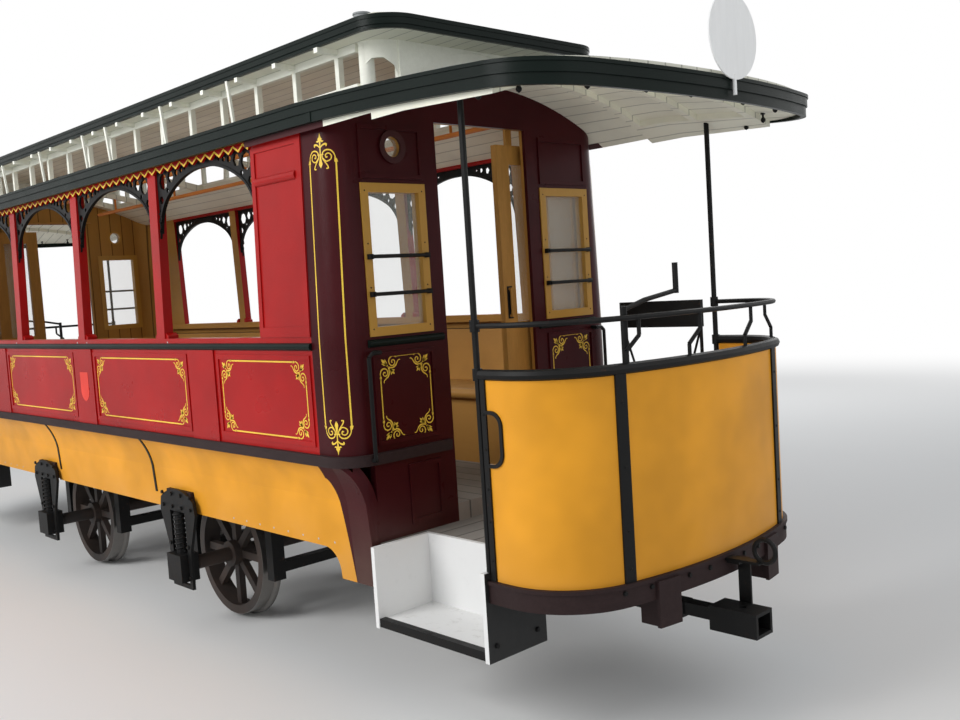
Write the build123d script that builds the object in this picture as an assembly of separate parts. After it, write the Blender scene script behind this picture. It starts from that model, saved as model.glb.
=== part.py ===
from build123d import *
import math
import os

# Two-axle open-sided horse tram.
# X runs along the car towards the front platform, Y across it, Z up.
# The origin lies under the middle of the car, level with the wheel flanges.
# The car looks the same when it is turned half a turn about Z, so most pieces
# are made once and turned for the other end or the other side.
# The near side is -Y, the front end is +X. All sizes are in millimetres.

# Saloon body
HALF_WIDTH = 950        # outer face of the side panels at the belt
TOP_LEAN = 25           # how far the upper side leans in at the cornice
END_X = 2850            # outer face of the bulkheads
CORNER_R = 140          # rounding of the four body corners
CORNER_START = 2620     # where the side panels stop and the corner posts start
SKIN = 20               # thickness of the side panels
WALL = 40               # thickness of bulkheads and corner posts
FLOOR_Z = 867           # top of the saloon floor
FLOOR_T = 27
FLOOR_HALF = 836
SILL_X = 2805           # half length of the underframe sills
RAIL_LOW_Z = 1142       # bottom rail, lower edge
RAIL_TOP_Z = 1193       # bottom rail, upper edge
RAIL_OUT = 22           # how far the bottom rail stands out
BELT_Z = 1696           # centre of the belt rail, top of the lower panels
BELT_R = 18
SILL_Z = 1740           # top of the window sill
SILL_DEPTH = 80
CORNICE_Z = 2685        # lower edge of the cornice board
POST_W = 94             # side posts, along the car
POST_D = 55
BAY = 1117.5            # pitch of the side posts
SIDE_POSTS = 3
END_PANEL_X = 2188      # inner edge of the small upper end panels
PILASTER_W = 280
PILASTER_X = 1570       # outer pilasters, from the middle of the car
PILASTER_OUT = 8
PANEL_FRAME = 24        # width of the raised frames round the lower panels
PANEL_FRAME_OUT = 6

# Arched lace between the side posts, and the toothed valance in front of them
ARCH_HALF = 510         # half width of the arch at its foot
ARCH_FOOT_Z = 2330
ARCH_RISE = 306
ARCH_RIB = 14           # width of the rib along the arch
RIB_T = 22
LACE_T = 12
LACE_Y = 915            # outer face of the lace
LACE_GAP = 0.3          # joint between the two halves at the crown
VALANCE_T = 14
VALANCE_LOW_Z = 2654    # tips of the teeth
VALANCE_TOP_Z = 2715
TOOTH_H = 28
TEETH_PER_BAY = 12

# Rocker panel, given as (y, z) of its outer face on the near side
ROCKER_TOP_Y = 945
ROCKER_MID = (898, 1062)
ROCKER_KNEE = (868, 960)
ROCKER_LOW_Z = 715
ROCKER_T = 20
FOOT_LOW_Z = 570        # lower end of the legs at the body corners
FOOT_Y = 840
FOOT_X = 2690           # where the rocker stops and the corner foot starts
LEG_W = 120
LEG_R = 110

# Roof
ROOF_R = 1858           # radius of the saloon ceiling arch
CROWN_Z = 2930          # ceiling height in the middle of the car
ROOF_HALF = 960
EAVES_Z = 2772          # top of the roof at the eaves
ROOF_TOP_CROWN = 2960
CARLINE_W = 40
FASCIA_T = 25
FASCIA_OUT = 985        # outer face of the fascia
FASCIA_LOW_Z = 2691
FASCIA_H = 82
FASCIA_DROP = 92        # fall of the fascia from the saloon to the hood front
FASCIA_START = 2683
HOOD_X = 4285           # front of the hood
HOOD_CORNER_R = 320
HOOD_FRONT_R = 3300
MOULD_H = 14            # round moulding along the top of the fascia
MOULD_OUT = 12
FASCIA_FLAT_H = 44      # plain lower part of the fascia
FASCIA_ROUND_OUT = 7    # how far the round upper part stands out
HOOD_RIB_W = 45
HOOD_RIB_H = 28
HOOD_RIB_XS = (3215, 3565, 3880)
HOOD_EDGE_Y = 800       # inner edge of the boards along the eaves of the hood

# Clerestory
CLER_HALF = 640         # outer face of the clerestory sides
CLER_BASE_Z = 2905
CLER_TOP_Z = 3088       # underside of the upper roof at its edge
CLER_ROOF_HALF = 765
CLER_ROOF_X = 3050
CLER_ROOF_R = 190
CLER_EDGE_H = 64
CLER_RISE = 85
CLER_POST_W = 30
CLER_POSTS = 15
CLER_PITCH = 364
CLER_PLATE_H = 38       # rail along the heads of the posts
RAFTER_END = 756        # how far the rafter ends reach out under the moulding
STAY_XS = (-1719, -950, -181, 181, 950, 1719)
STAY_W = 20
STAY_T = 13
STAY_FOOT_Y = 728
CLER_WALL_R = 130       # rounded corners of the raised roof
CLER_WALL_T = 20
CLER_ARCH_R = 88        # opening in each rounded corner
CLER_ARCH_HALF = 385    # flat arch on the end panel
CLER_ARCH_FOOT_Z = 2954
CLER_ARCH_TOP_Z = 3080
CLER_CORNER_X = 2700
CLER_CORNER_R = 36
CLER_PANEL_HALF = 507

# Bulkheads, windows, doors
DOOR_HALF = 315
DOOR_TOP_Z = 2722
PLATFORM_Z = 777        # top of the platform floor
WIN_IN = 404
WIN_OUT = 786
WIN_LOW_Z = 1727
WIN_TOP_Z = 2425
WIN_FRAME = 42
PORT_Y = 587
PORT_Z = 2592
PORT_R = 62
PORT_GLASS_R = 48
LEAF_W = 670
LEAF_T = 36
LEAF_X = 2786           # outer face of the sliding leaf
LEAF_OPEN_Y = 495       # middle of the open leaf
LEAF_LOW_Z = 872
LEAF_TOP_Z = 2650
TRACK_Z = 2730          # lower edge of the bar that the door rollers run on
TRACK_H = 12
TRACK_DEPTH = 20
ROLLER_R = 16
RUNNING_GAP = 0.3
GLASS_T = 5
BAR_R = 9
BAR_Z = (1919, 2090)

# Platform and dash
DASH_HALF = 850
DASH_R = 360
DASH_X = 4160
DASH_FRONT_R = 2400
DASH_START = 3628
DASH_LOW_Z = 745
DASH_TOP_Z = 1556
DASH_T = 5
RAIL_R = 22             # top rail of the dash
RIM_H = 92
RIM_T = 14
RIM_LIP_H = 16
RIM_LIP_OUT = 6
STRAP_Y = 560
STRAP_W = 50
STRAP_T = 8
END_STRIP_W = 26        # iron strip down the end of the dash
GRIP_X = 3737           # bow of the grip at the end of the dash
GRIP_Z = (1207, 1436)
GRIP_R = 60
GRIP_W = 15
STEP_X0 = 2872
STEP_X1 = 3615
STEP_RISER_Y = 561
STEP_OUT_Y = 885
STEP_TREAD_Z = 444
STEP_T = 24
STEP_BACK_T = 20
PLANK_T = 27
CANOPY_POST_R = 13
CANOPY_POST_Y = 853
HANDRAIL_Z = 1771
HANDRAIL_R = 11
BRAKE_X = 4066
BRAKE_Y = 479
CRANK_END = (4044, 95, 1859)
CRANK_TOP_Z = 1974
BRACKETS = (
    # x, y of the head of each handrail bracket, and x, y of its foot
    (4117, -450, 4103, -516),
    (4158, -97, 4153, -170),
    (4138, 326, 4147, 256),
    (3934, 790, 3990, 744),
)
IRON_X = 2890           # upright grip at the corner of the bulkhead
IRON_Y = 832
IRON_Z = (1168, 1655)
IRON_R = 10

# Entrance gate, across the side that the open door leaf is on
GATE_X0 = 3020
GATE_X1 = 3545
GATE_Y = 832
GATE_LOW_Z = 840
GATE_BOARD_Z = 1645
GATE_TOP_Z = 1785
GATE_HINGE_X = 3578
GATE_HINGE_Y = 848
GATE_HINGE_Z = (1000, 1450)
PIN_R = 5

# Running gear
WHEELBASE = 2050
TREAD_R = 375
FLANGE_R = 393
TYRE_IN = 465           # inner face of the wheels
TYRE_OUT = 577          # outer face of the wheels
TREAD_START = 497
AXLE_Z = FLANGE_R
AXLE_R = 42
JOURNAL_R = 34
HUB_R = 78
SPOKES = 8
PACK_W = 300            # packing between sill and axle guard, through the rocker
PACK_TOP_Z = 842
GUARD_Y0 = 880
GUARD_T = 18
GUARD_LOW_Z = 267
GUARD_HALF = (118, 132, 212, 196)        # half widths of the guard going up
GUARD_ZS = (GUARD_LOW_Z, 510, 715, 790)  # and their heights
GUARD_TOP_Z = 852
SLOT_Z = (292, 720)
BOX_W = 166
SLOT_W = BOX_W + 10
HANGER_XS = (WHEELBASE / 2 - FLANGE_R - 58, WHEELBASE / 2 + FLANGE_R + 58)
BOX_H = 160
BEARER_Y = 390          # bearers under the platforms
BEARER_W = 90
BEARER_X = 1434
BEARER_END = 4112
BUMPER_T = 16
BUMPER_LOW_Z = 540

# Draw gear
RING_X = 4350
RING_Z = 777
RING_R = 48
RING_BAR_R = 11
STRAP_X = (4182, 4240)  # hanger strap of the coupler
HOOK_BAR_Z = 718
HOOK_BAR_T = 12
HOOK_BAR_W = 44
COUPLER_Z = 470
COUPLER_X = 4335
DRAWBAR_TOP_Z = 500

os.makedirs("parts", exist_ok=True)


def block(x0, x1, y0, y1, z0, z1):
    """Box between two corners."""
    size = Box(abs(x1 - x0), abs(y1 - y0), abs(z1 - z0))
    return Pos((x0 + x1) / 2, (y0 + y1) / 2, (z0 + z1) / 2) * size


def rod(p, q, area):
    """Bar of the given section from p to q."""
    p, q = Vector(*p), Vector(*q)
    run = q - p
    return extrude(Plane(origin=p, z_dir=run) * area, run.length)


def pin(p, q, r):
    """Turned round bar from p to q."""
    return rod(p, q, Circle(r))


def bar(p, q, r, flats=12):
    """Forged bar from p to q, drawn with narrow flats."""
    return rod(p, q, RegularPolygon(r, flats))


def along_x(face_yz, x0, x1):
    """Extrude a face drawn as (y, z) from x0 to x1."""
    plane = Plane(origin=(x0, 0, 0), x_dir=(0, 1, 0), z_dir=(1, 0, 0))
    return extrude(plane * face_yz, x1 - x0)


def along_y(face_xz, y0, y1):
    """Extrude a face drawn as (x, z) from y0 to y1."""
    plane = Plane(origin=(0, y0, 0), x_dir=(1, 0, 0), z_dir=(0, -1, 0))
    return extrude(plane * face_xz, -(y1 - y0))


def outline(*edges):
    """Face inside a closed chain of edges."""
    return make_face(Wire(edges))


def turned(shape):
    """The same piece at the other end of the car."""
    return Rot(0, 0, 180) * shape


def mirror_y(shape):
    return mirror(shape, about=Plane.XZ)


def mirror_x(shape):
    return mirror(shape, about=Plane.YZ)


def group(shapes):
    return Part() + list(shapes)


def timbers(shapes):
    """Pieces of one node that stand on each other and stay separate solids."""
    return Compound([solid for shape in shapes for solid in shape.solids()])


def save(shape, node):
    export_step(shape, "parts/" + node + ".step")


def save_both(shape, node):
    """One node for a piece and the same piece on the other side or end."""
    save(group([shape, turned(shape)]), node)


def save_pair(shape, name):
    """Two nodes for a piece that moves by itself at each end."""
    save(shape, name + "_front")
    save(turned(shape), name + "_rear")


def ceiling_z(y):
    """Height of the saloon ceiling arch."""
    return CROWN_Z - ROOF_R + math.sqrt(ROOF_R**2 - y**2)


def end_centres(half, r, front, front_r):
    """Centres of the corner and front arcs of a bowed end."""
    front_c = front - front_r
    corner_y = half - r
    corner_x = front_c + math.sqrt((front_r - r)**2 - corner_y**2)
    return front_c, corner_x, corner_y


def bowed_end(half, r, front, front_r, start, d):
    """Edges of a bowed end in plan, moved in by d, from near to far side."""
    front_c, cx, cy = end_centres(half, r, front, front_r)
    turn = math.atan2(cy, cx - front_c)
    rr, fr = r - d, front_r - d
    mid = (math.pi / 2 + turn) / 2
    join = (front_c + fr * math.cos(turn), -fr * math.sin(turn))
    arc_mid = (cx + rr * math.cos(mid), -cy - rr * math.sin(mid))
    side = (cx, -cy - rr)
    first = (start, -half + d)
    return [
        Line(first, side),
        ThreePointArc(side, arc_mid, join),
        ThreePointArc(join, (front_c + fr, 0), (join[0], -join[1])),
        ThreePointArc((join[0], -join[1]), (arc_mid[0], -arc_mid[1]), (side[0], -side[1])),
        Line((side[0], -side[1]), (start, half - d)),
    ]


def end_area(shape, start, d):
    """Filled plan of a bowed end."""
    edges = bowed_end(*shape, start, d)
    return outline(*edges, Line((start, shape[0] - d), (start, -shape[0] + d)))


def end_band(shape, start, d0, d1):
    """Strip of a bowed end between two offsets."""
    return end_area(shape, start, d0) - end_area(shape, start - 10, d1)


HOOD = (FASCIA_OUT, HOOD_CORNER_R, HOOD_X, HOOD_FRONT_R)
DASH = (DASH_HALF, DASH_R, DASH_X, DASH_FRONT_R)

# Roof underside, used to trim all that ends under the roof

arch_at = ROOF_HALF + 60
under_arch = along_x(
    outline(
        ThreePointArc((-arch_at, ceiling_z(arch_at)), (0, CROWN_Z), (arch_at, ceiling_z(arch_at))),
        Line((arch_at, ceiling_z(arch_at)), (arch_at, 400)),
        Line((arch_at, 400), (-arch_at, 400)),
        Line((-arch_at, 400), (-arch_at, ceiling_z(arch_at))),
    ),
    -END_X - 60,
    END_X + 60,
)

# Lower side walls

side = block(-CORNER_START, CORNER_START, -HALF_WIDTH, -HALF_WIDTH + SKIN, RAIL_LOW_Z, BELT_Z)
half_p = PILASTER_W / 2
panel_z = (RAIL_TOP_Z + 34, BELT_Z - BELT_R - 22)
pilaster_xs = (-PILASTER_X, 0, PILASTER_X)
for x in pilaster_xs:
    side += block(
        x - half_p, x + half_p,
        -HALF_WIDTH - PILASTER_OUT, -HALF_WIDTH,
        RAIL_TOP_Z, BELT_Z - BELT_R,
    )
panel_spans = [
    (-CORNER_START, -PILASTER_X - half_p),
    (-PILASTER_X + half_p, -half_p),
    (half_p, PILASTER_X - half_p),
    (PILASTER_X + half_p, CORNER_START),
]
for x0, x1 in panel_spans:
    outer = block(x0 + 22, x1 - 22, -HALF_WIDTH - PANEL_FRAME_OUT, -HALF_WIDTH, *panel_z)
    inner = block(
        x0 + 22 + PANEL_FRAME, x1 - 22 - PANEL_FRAME,
        -HALF_WIDTH - PANEL_FRAME_OUT, -HALF_WIDTH,
        panel_z[0] + PANEL_FRAME, panel_z[1] - PANEL_FRAME,
    )
    side += outer - inner
save_both(side, "side_panels")

# Rocker panels with their legs


def rocker_area(t):
    """Section of the rocker from its outer face to t behind it."""
    top = (-ROCKER_TOP_Y, RAIL_LOW_Z)
    knee = (-ROCKER_KNEE[0], ROCKER_KNEE[1])
    mid = (-ROCKER_MID[0], ROCKER_MID[1])
    foot = (-FOOT_Y, FOOT_LOW_Z)
    back = [(p[0] + t, p[1]) for p in (foot, knee, mid, top)]
    return outline(
        ThreePointArc(top, mid, knee),
        Line(knee, foot),
        Line(foot, back[0]),
        Line(back[0], back[1]),
        ThreePointArc(back[1], back[2], back[3]),
        Line(back[3], top),
    )


opening = Pos(0, (FOOT_LOW_Z - 100 + ROCKER_LOW_Z) / 2) * Rectangle(
    2 * (FOOT_X - LEG_W), ROCKER_LOW_Z - FOOT_LOW_Z + 100
)
opening = fillet(opening.vertices().group_by(Axis.Y)[-1], LEG_R)
rocker = along_x(rocker_area(ROCKER_T), -FOOT_X, FOOT_X)
rocker -= along_y(opening, -HALF_WIDTH - 20, -FOOT_Y + 60)
for x in (-WHEELBASE / 2, WHEELBASE / 2):
    rocker -= block(x - PACK_W / 2, x + PACK_W / 2, -HALF_WIDTH, -FOOT_Y + 60, 600, PACK_TOP_Z)
save_both(rocker, "rockers")

# Corner posts: a foot with the rocker's section, a straight part and a leaning part


def body_plan(d):
    return RectangleRounded(2 * (END_X + d), 2 * (HALF_WIDTH + d), CORNER_R + d)


def corner_area(half):
    """Plan of one corner post for a given half width of the body."""
    r_in = CORNER_R - WALL
    cx, cy = END_X - CORNER_R, -half + CORNER_R
    k = math.sqrt(0.5)
    return outline(
        Line((CORNER_START, -half), (cx, -half)),
        ThreePointArc((cx, -half), (cx + CORNER_R * k, cy - CORNER_R * k), (END_X, cy)),
        Line((END_X, cy), (END_X - WALL, cy)),
        ThreePointArc((END_X - WALL, cy), (cx + r_in * k, cy - r_in * k), (cx, cy - r_in)),
        Line((cx, cy - r_in), (CORNER_START, cy - r_in)),
        Line((CORNER_START, cy - r_in), (CORNER_START, -half)),
    )


corner = extrude(Pos(0, 0, RAIL_LOW_Z) * corner_area(HALF_WIDTH), SILL_Z - RAIL_LOW_Z)
lean_top = 2760
lean_half = HALF_WIDTH - TOP_LEAN * (lean_top - SILL_Z) / (CORNICE_Z - SILL_Z)
lean_run = Vector(0, HALF_WIDTH - lean_half, lean_top - SILL_Z)
corner += extrude(Pos(0, 0, SILL_Z) * corner_area(HALF_WIDTH), lean_run.length, dir=lean_run)
foot_depth = ROCKER_KNEE[0] - (HALF_WIDTH - CORNER_R)
foot = along_x(rocker_area(ROCKER_T), FOOT_X, END_X)
foot += along_x(rocker_area(foot_depth), END_X - WALL, END_X)
foot &= extrude(Pos(0, 0, FOOT_LOW_Z) * body_plan(0), RAIL_LOW_Z - FOOT_LOW_Z)
foot &= block(FOOT_X, END_X, -HALF_WIDTH, -HALF_WIDTH + CORNER_R, FOOT_LOW_Z, RAIL_LOW_Z)
corner += foot
corner = corner & under_arch
corners = group([corner, mirror_x(corner)])
corner_posts = group([corners, turned(corners)])
save(corner_posts, "corner_posts")

# Bottom rail round the body, split at the doorways


bottom_rail = extrude(Pos(0, 0, RAIL_LOW_Z) * (body_plan(RAIL_OUT) - body_plan(0)), RAIL_TOP_Z - RAIL_LOW_Z)
bottom_rail -= block(-END_X - 60, END_X + 60, -DOOR_HALF - 30, DOOR_HALF + 30, RAIL_LOW_Z, RAIL_TOP_Z)
save(bottom_rail, "bottom_rails")

# Belt rails, half round, on the sides and across the bulkheads

half_round = Circle(BELT_R) & Pos(-BELT_R / 2, 0) * Rectangle(BELT_R, 2 * BELT_R)
belt = along_x(Pos(-HALF_WIDTH, BELT_Z) * half_round, -CORNER_START, CORNER_START)
belt_end = along_y(
    Pos(END_X, BELT_Z) * (Circle(BELT_R) & Pos(BELT_R / 2, 0) * Rectangle(BELT_R, 2 * BELT_R)),
    -HALF_WIDTH + CORNER_R + 8,
    -DOOR_HALF - 30,
)
belts = group([belt, belt_end, mirror_y(belt_end)])
save(group([belts, turned(belts)]), "belt_rails")

# Upper sides: sill, posts, small end panels and cornice


def lean_y(z):
    return HALF_WIDTH - TOP_LEAN * (z - SILL_Z) / (CORNICE_Z - SILL_Z)


def side_strip(x0, x1, z0, z1, depth, out=0):
    """Board of the leaning upper side between two heights."""
    pts = [
        (-lean_y(z0) - out, z0),
        (-lean_y(z0) + depth, z0),
        (-lean_y(z1) + depth, z1),
        (-lean_y(z1) - out, z1),
    ]
    return along_x(make_face(Polyline(*pts, close=True)), x0, x1)


sill = block(
    -CORNER_START, CORNER_START,
    -HALF_WIDTH, -HALF_WIDTH + SILL_DEPTH,
    BELT_Z, SILL_Z,
)
cornice = side_strip(-CORNER_START, CORNER_START, CORNICE_Z, 2720, 45)
upper = [sill, cornice & under_arch]
first_post = -(SIDE_POSTS - 1) / 2 * BAY
for i in range(SIDE_POSTS):
    x = first_post + i * BAY
    post = side_strip(x - POST_W / 2, x + POST_W / 2, SILL_Z, CORNICE_Z, POST_D)
    upper.append(post & under_arch)
for side_sign in (-1, 1):
    x0, x1 = sorted((side_sign * END_PANEL_X, side_sign * CORNER_START))
    panel = side_strip(x0, x1, SILL_Z, CORNICE_Z, WALL)
    panel += side_strip(x0 + 20, x1 - 20, 2475, 2508, 0, PANEL_FRAME_OUT)
    upper.append(panel & under_arch)
save(timbers([*upper, *(turned(piece) for piece in upper)]), "side_frames")

# Lace brackets: each bay has an arch in two halves, pierced like wrought scrolls

bay_half = (BAY - POST_W) / 2


def arch_points(grow):
    """Five points of the half arch from its foot to its crown, moved out by grow."""
    a, h = ARCH_HALF + grow, ARCH_RISE + grow
    turns = [math.radians(22.5 * i) for i in range(5)]
    return [(a * math.cos(t), ARCH_FOOT_Z + h * math.sin(t)) for t in turns]


def arch_edges(grow):
    p = arch_points(grow)
    return [ThreePointArc(p[0], p[1], p[2]), ThreePointArc(p[2], p[3], p[4])]


def spandrel(grow):
    """Area of one half bay above the arch."""
    foot, *_, crown = arch_points(grow)
    return outline(
        *arch_edges(grow),
        Line(crown, (0, CORNICE_Z)),
        Line((0, CORNICE_Z), (foot[0], CORNICE_Z)),
        Line((foot[0], CORNICE_Z), foot),
    )


PIERCINGS = [
    # distance from the middle of the bay, height, radius, sides
    (440, 2612, 46, 8),
    (474, 2515, 24, 6),
    (489, 2455, 14, 5),
    (352, 2630, 34, 6),
    (283, 2644, 22, 5),
    (228, 2652, 17, 5),
    (183, 2657, 13, 4),
    (395, 2560, 15, 5),
]
half_bay = Pos((LACE_GAP / 2 + bay_half) / 2, 2500) * Rectangle(bay_half - LACE_GAP / 2, 1000)
lace_area = spandrel(ARCH_RIB / 2) & half_bay
for u, z, r, sides in PIERCINGS:
    lace_area -= Pos(u, z) * RegularPolygon(r, sides)
rib_area = (spandrel(0) - spandrel(ARCH_RIB)) & half_bay
half_lace = along_y(lace_area, -LACE_Y, -LACE_Y + LACE_T)
half_lace += along_y(rib_area, -LACE_Y - (RIB_T - LACE_T) / 2, -LACE_Y + (RIB_T + LACE_T) / 2)
whole_lace = [half_lace, mirror_x(half_lace)]
bay_centres = [(i - SIDE_POSTS / 2) * BAY for i in range(SIDE_POSTS + 1)]
brackets = [Pos(x, 0, 0) * half for x in bay_centres for half in whole_lace]
brackets += [turned(b) for b in brackets]
save(Compound(children=brackets), "brackets")

# Toothed valance

pitch = BAY / TEETH_PER_BAY
teeth = math.floor(END_PANEL_X / pitch)
comb = []
for i in range(-teeth, teeth + 1):
    comb += [(i * pitch - pitch / 2, VALANCE_LOW_Z), (i * pitch, VALANCE_LOW_Z + TOOTH_H)]
comb.append(((teeth + 0.5) * pitch, VALANCE_LOW_Z))
comb += [((teeth + 0.5) * pitch, VALANCE_TOP_Z + 50), (-(teeth + 0.5) * pitch, VALANCE_TOP_Z + 50)]
valance_end = (teeth + 0.5) * pitch
valance = side_strip(-valance_end, valance_end, VALANCE_LOW_Z, VALANCE_TOP_Z, 0, VALANCE_T)
valance = valance & along_y(make_face(Polyline(*comb, close=True)), -HALF_WIDTH - 60, -HALF_WIDTH + 60)
save_both(valance, "valances")

# Bulkheads


def bulkhead_area():
    low, top = HALF_WIDTH - CORNER_R, lean_half - CORNER_R
    z_side = lean_top
    return make_face(Polyline(
        (-low, PLATFORM_Z), (low, PLATFORM_Z), (low, SILL_Z), (top, z_side), (top, CROWN_Z + 20),
        (-top, CROWN_Z + 20), (-top, z_side), (-low, SILL_Z), close=True,
    ))


bulkhead = along_x(bulkhead_area(), END_X - WALL, END_X) & under_arch
bulkhead -= block(END_X - 60, END_X + 20, -DOOR_HALF, DOOR_HALF, PLATFORM_Z - 5, DOOR_TOP_Z)
win_mid_y = (WIN_IN + WIN_OUT) / 2
win_mid_z = (WIN_LOW_Z + WIN_TOP_Z) / 2
for y in (-win_mid_y, win_mid_y):
    bulkhead -= Pos(END_X, y, win_mid_z) * Box(100, WIN_OUT - WIN_IN, WIN_TOP_Z - WIN_LOW_Z)
bulkhead -= Pos(END_X, -PORT_Y, PORT_Z) * Rot(0, 90, 0) * Cylinder(PORT_R, 100)


def raised_frame(y0, y1, z0, z1, w, out):
    """Raised frame on the outer face of a bulkhead."""
    return block(END_X, END_X + out, y0, y1, z0, z1) - block(
        END_X, END_X + out, y0 + w, y1 - w, z0 + w, z1 - w
    )


FRAMES = [
    # y0, y1, z0, z1 of the raised frames on each half of a bulkhead
    (WIN_IN + 4, WIN_OUT - 4, RAIL_TOP_Z + 30, BELT_Z - 45),
    (WIN_IN + 4, 615, 825, 1131 - 20),
    (WIN_IN + 4, WIN_OUT - 4, WIN_TOP_Z + 20, 2690),
]
for y0, y1, z0, z1 in FRAMES:
    for s in (-1, 1):
        a, b = sorted((s * y0, s * y1))
        bulkhead += raised_frame(a, b, z0, z1, 22, 8)
save_both(bulkhead, "bulkheads")

# Bulkhead windows

frames = Part()
panes = Part()
bars = Part()
for y in (-win_mid_y, win_mid_y):
    w, h = WIN_OUT - WIN_IN, WIN_TOP_Z - WIN_LOW_Z
    ring = Box(WALL + 14, w, h) - Box(WALL + 20, w - 2 * WIN_FRAME, h - 2 * WIN_FRAME)
    frames += Pos(END_X - WALL / 2, y, win_mid_z) * ring
    panes += Pos(END_X - WALL / 2, y, win_mid_z) * Box(GLASS_T, w - 2 * WIN_FRAME, h - 2 * WIN_FRAME)
    for z in BAR_Z:
        lug = w / 2 - WIN_FRAME / 2
        x = END_X + 7 + BAR_R + 14
        bars += bar((x, y - lug, z), (x, y + lug, z), BAR_R, 6)
        for s in (-1, 1):
            bars += block(END_X + 7, x, y + s * lug - 10, y + s * lug + 10, z - 12, z + 12)
across_end = Pos(END_X, -PORT_Y, PORT_Z) * Rot(0, 90, 0)
port = Pos(-WALL / 2 + 7, 0, 0) * across_end * Cylinder(PORT_R, WALL + 14)
port += Pos(11, 0, 0) * across_end * Cylinder(PORT_R + 14, 6)
port -= across_end * Cylinder(PORT_GLASS_R, 200)
frames += port
panes += Pos(-WALL / 2, 0, 0) * across_end * Cylinder(PORT_GLASS_R, GLASS_T)
save_both(frames, "window_frames")
save_both(panes, "window_panes")
save_both(bars, "window_bars")

# Sliding doors, inside the bulkheads, drawn open towards the far side

leaf = Pos(LEAF_X - LEAF_T / 2, LEAF_OPEN_Y, (LEAF_LOW_Z + LEAF_TOP_Z) / 2) * Box(
    LEAF_T, LEAF_W, LEAF_TOP_Z - LEAF_LOW_Z
)
door_glass = Part()
pane_w = (LEAF_W - 3 * 90) / 2
for s in (-1, 1):
    y = LEAF_OPEN_Y + s * (pane_w + 90) / 2
    z = (BELT_Z + 30 + LEAF_TOP_Z - 100) / 2
    h = LEAF_TOP_Z - 100 - BELT_Z - 30
    leaf -= Pos(LEAF_X - LEAF_T / 2, y, z) * Box(LEAF_T + 4, pane_w, h)
    door_glass += Pos(LEAF_X - LEAF_T / 2, y, z) * Box(GLASS_T, pane_w, h)
roller_z = TRACK_Z + TRACK_H + RUNNING_GAP + ROLLER_R
roller_x = END_X - WALL - TRACK_DEPTH
for s in (-1, 1):
    y = LEAF_OPEN_Y + s * (LEAF_W / 2 - 110)
    x0 = LEAF_X - LEAF_T / 2 - 8
    leaf += block(x0, x0 + 16, y - 22, y + 22, LEAF_TOP_Z - 90, roller_z + 8)
    leaf += bar((x0 + 16, y, roller_z), (roller_x, y, roller_z), 8, 8)
    leaf += pin((roller_x, y, roller_z), (roller_x + TRACK_DEPTH - 6, y, roller_z), ROLLER_R)
handle_y = LEAF_OPEN_Y - LEAF_W / 2 + 40
handle = bar((LEAF_X + 14, handle_y, 1760), (LEAF_X + 14, handle_y, 1900), 7, 8)
for z in (1760, 1900):
    handle += bar((LEAF_X, handle_y, z), (LEAF_X + 20, handle_y, z), 8, 8)
save_pair(leaf + handle, "door_leaf")
save_pair(door_glass, "door_glass")
track = block(
    roller_x, END_X - WALL,
    -DOOR_HALF - 45, LEAF_OPEN_Y + LEAF_W / 2 - 90,
    TRACK_Z, TRACK_Z + TRACK_H,
)
save_both(track, "door_tracks")

# Saloon floor and inner benches

floor = block(-END_X + WALL, END_X - WALL, -FLOOR_HALF, FLOOR_HALF, FLOOR_Z - FLOOR_T, FLOOR_Z)
threshold = block(END_X - WALL, END_X, -DOOR_HALF, DOOR_HALF, PLATFORM_Z, FLOOR_Z)
floor = (floor + threshold + turned(threshold)) - corner_posts
save(floor, "saloon_floor")

SEAT_Z = 1320
BENCH_X = 2700
bench = block(-BENCH_X, BENCH_X, -880, -470, SEAT_Z - 30, SEAT_Z)
bench += Pos(0, -470, SEAT_Z - 30) * Rot(0, 90, 0) * Cylinder(30, 2 * BENCH_X) & block(
    -BENCH_X, BENCH_X, -520, -430, SEAT_Z - 60, SEAT_Z)
bench += block(-BENCH_X, BENCH_X, -530, -510, FLOOR_Z, SEAT_Z - 30)
bench += block(-BENCH_X, BENCH_X, -905, -880, SEAT_Z - 30, 1650)
save_both(bench, "benches")

rail_y = 362
grab = bar((-2600, -rail_y, 2790), (2600, -rail_y, 2790), 15, 8)
for i in range(-2, 3):
    grab += bar((i * BAY, -rail_y, 2790), (i * BAY, -rail_y, ceiling_z(rail_y) + 2), 9, 6) & under_arch
save_both(grab, "grab_rails")

# Lower roof on both sides of the clerestory, and the hoods over the platforms


def roof_section(half, low_edge, low_crown, top_edge, top_crown):
    return outline(
        ThreePointArc((-half, low_edge), (0, low_crown), (half, low_edge)),
        Line((half, low_edge), (half, top_edge)),
        ThreePointArc((half, top_edge), (0, top_crown), (-half, top_edge)),
        Line((-half, top_edge), (-half, low_edge)),
    )


saloon_section = roof_section(ROOF_HALF, ceiling_z(ROOF_HALF), CROWN_Z, EAVES_Z, ROOF_TOP_CROWN)
roof = along_x(saloon_section, -END_X, END_X)
roof_in = CLER_HALF - 30
roof -= block(-CLER_CORNER_X, CLER_CORNER_X, -roof_in, roof_in, 2600, 3000)
roof_near = roof & block(-END_X, END_X, -1000, -CLER_HALF + 30, 2500, 3000)
roof_near -= block(
    -valance_end - LACE_GAP, valance_end + LACE_GAP,
    -ROOF_HALF, -lean_y(VALANCE_TOP_Z) + LACE_GAP,
    2600, VALANCE_TOP_Z + LACE_GAP,
)
roof_end = roof & block(CLER_CORNER_X, END_X, -CLER_HALF + 30, CLER_HALF - 30, 2500, 3000)
for i in range(-2, 3):
    x = i * BAY
    roof_near += along_x(saloon_section, x - CARLINE_W / 2, x + CARLINE_W / 2) & block(
        x - 60, x + 60, -roof_in, 0, 2600, 3000
    )
save_both(roof_near, "roof_sides")

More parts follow.
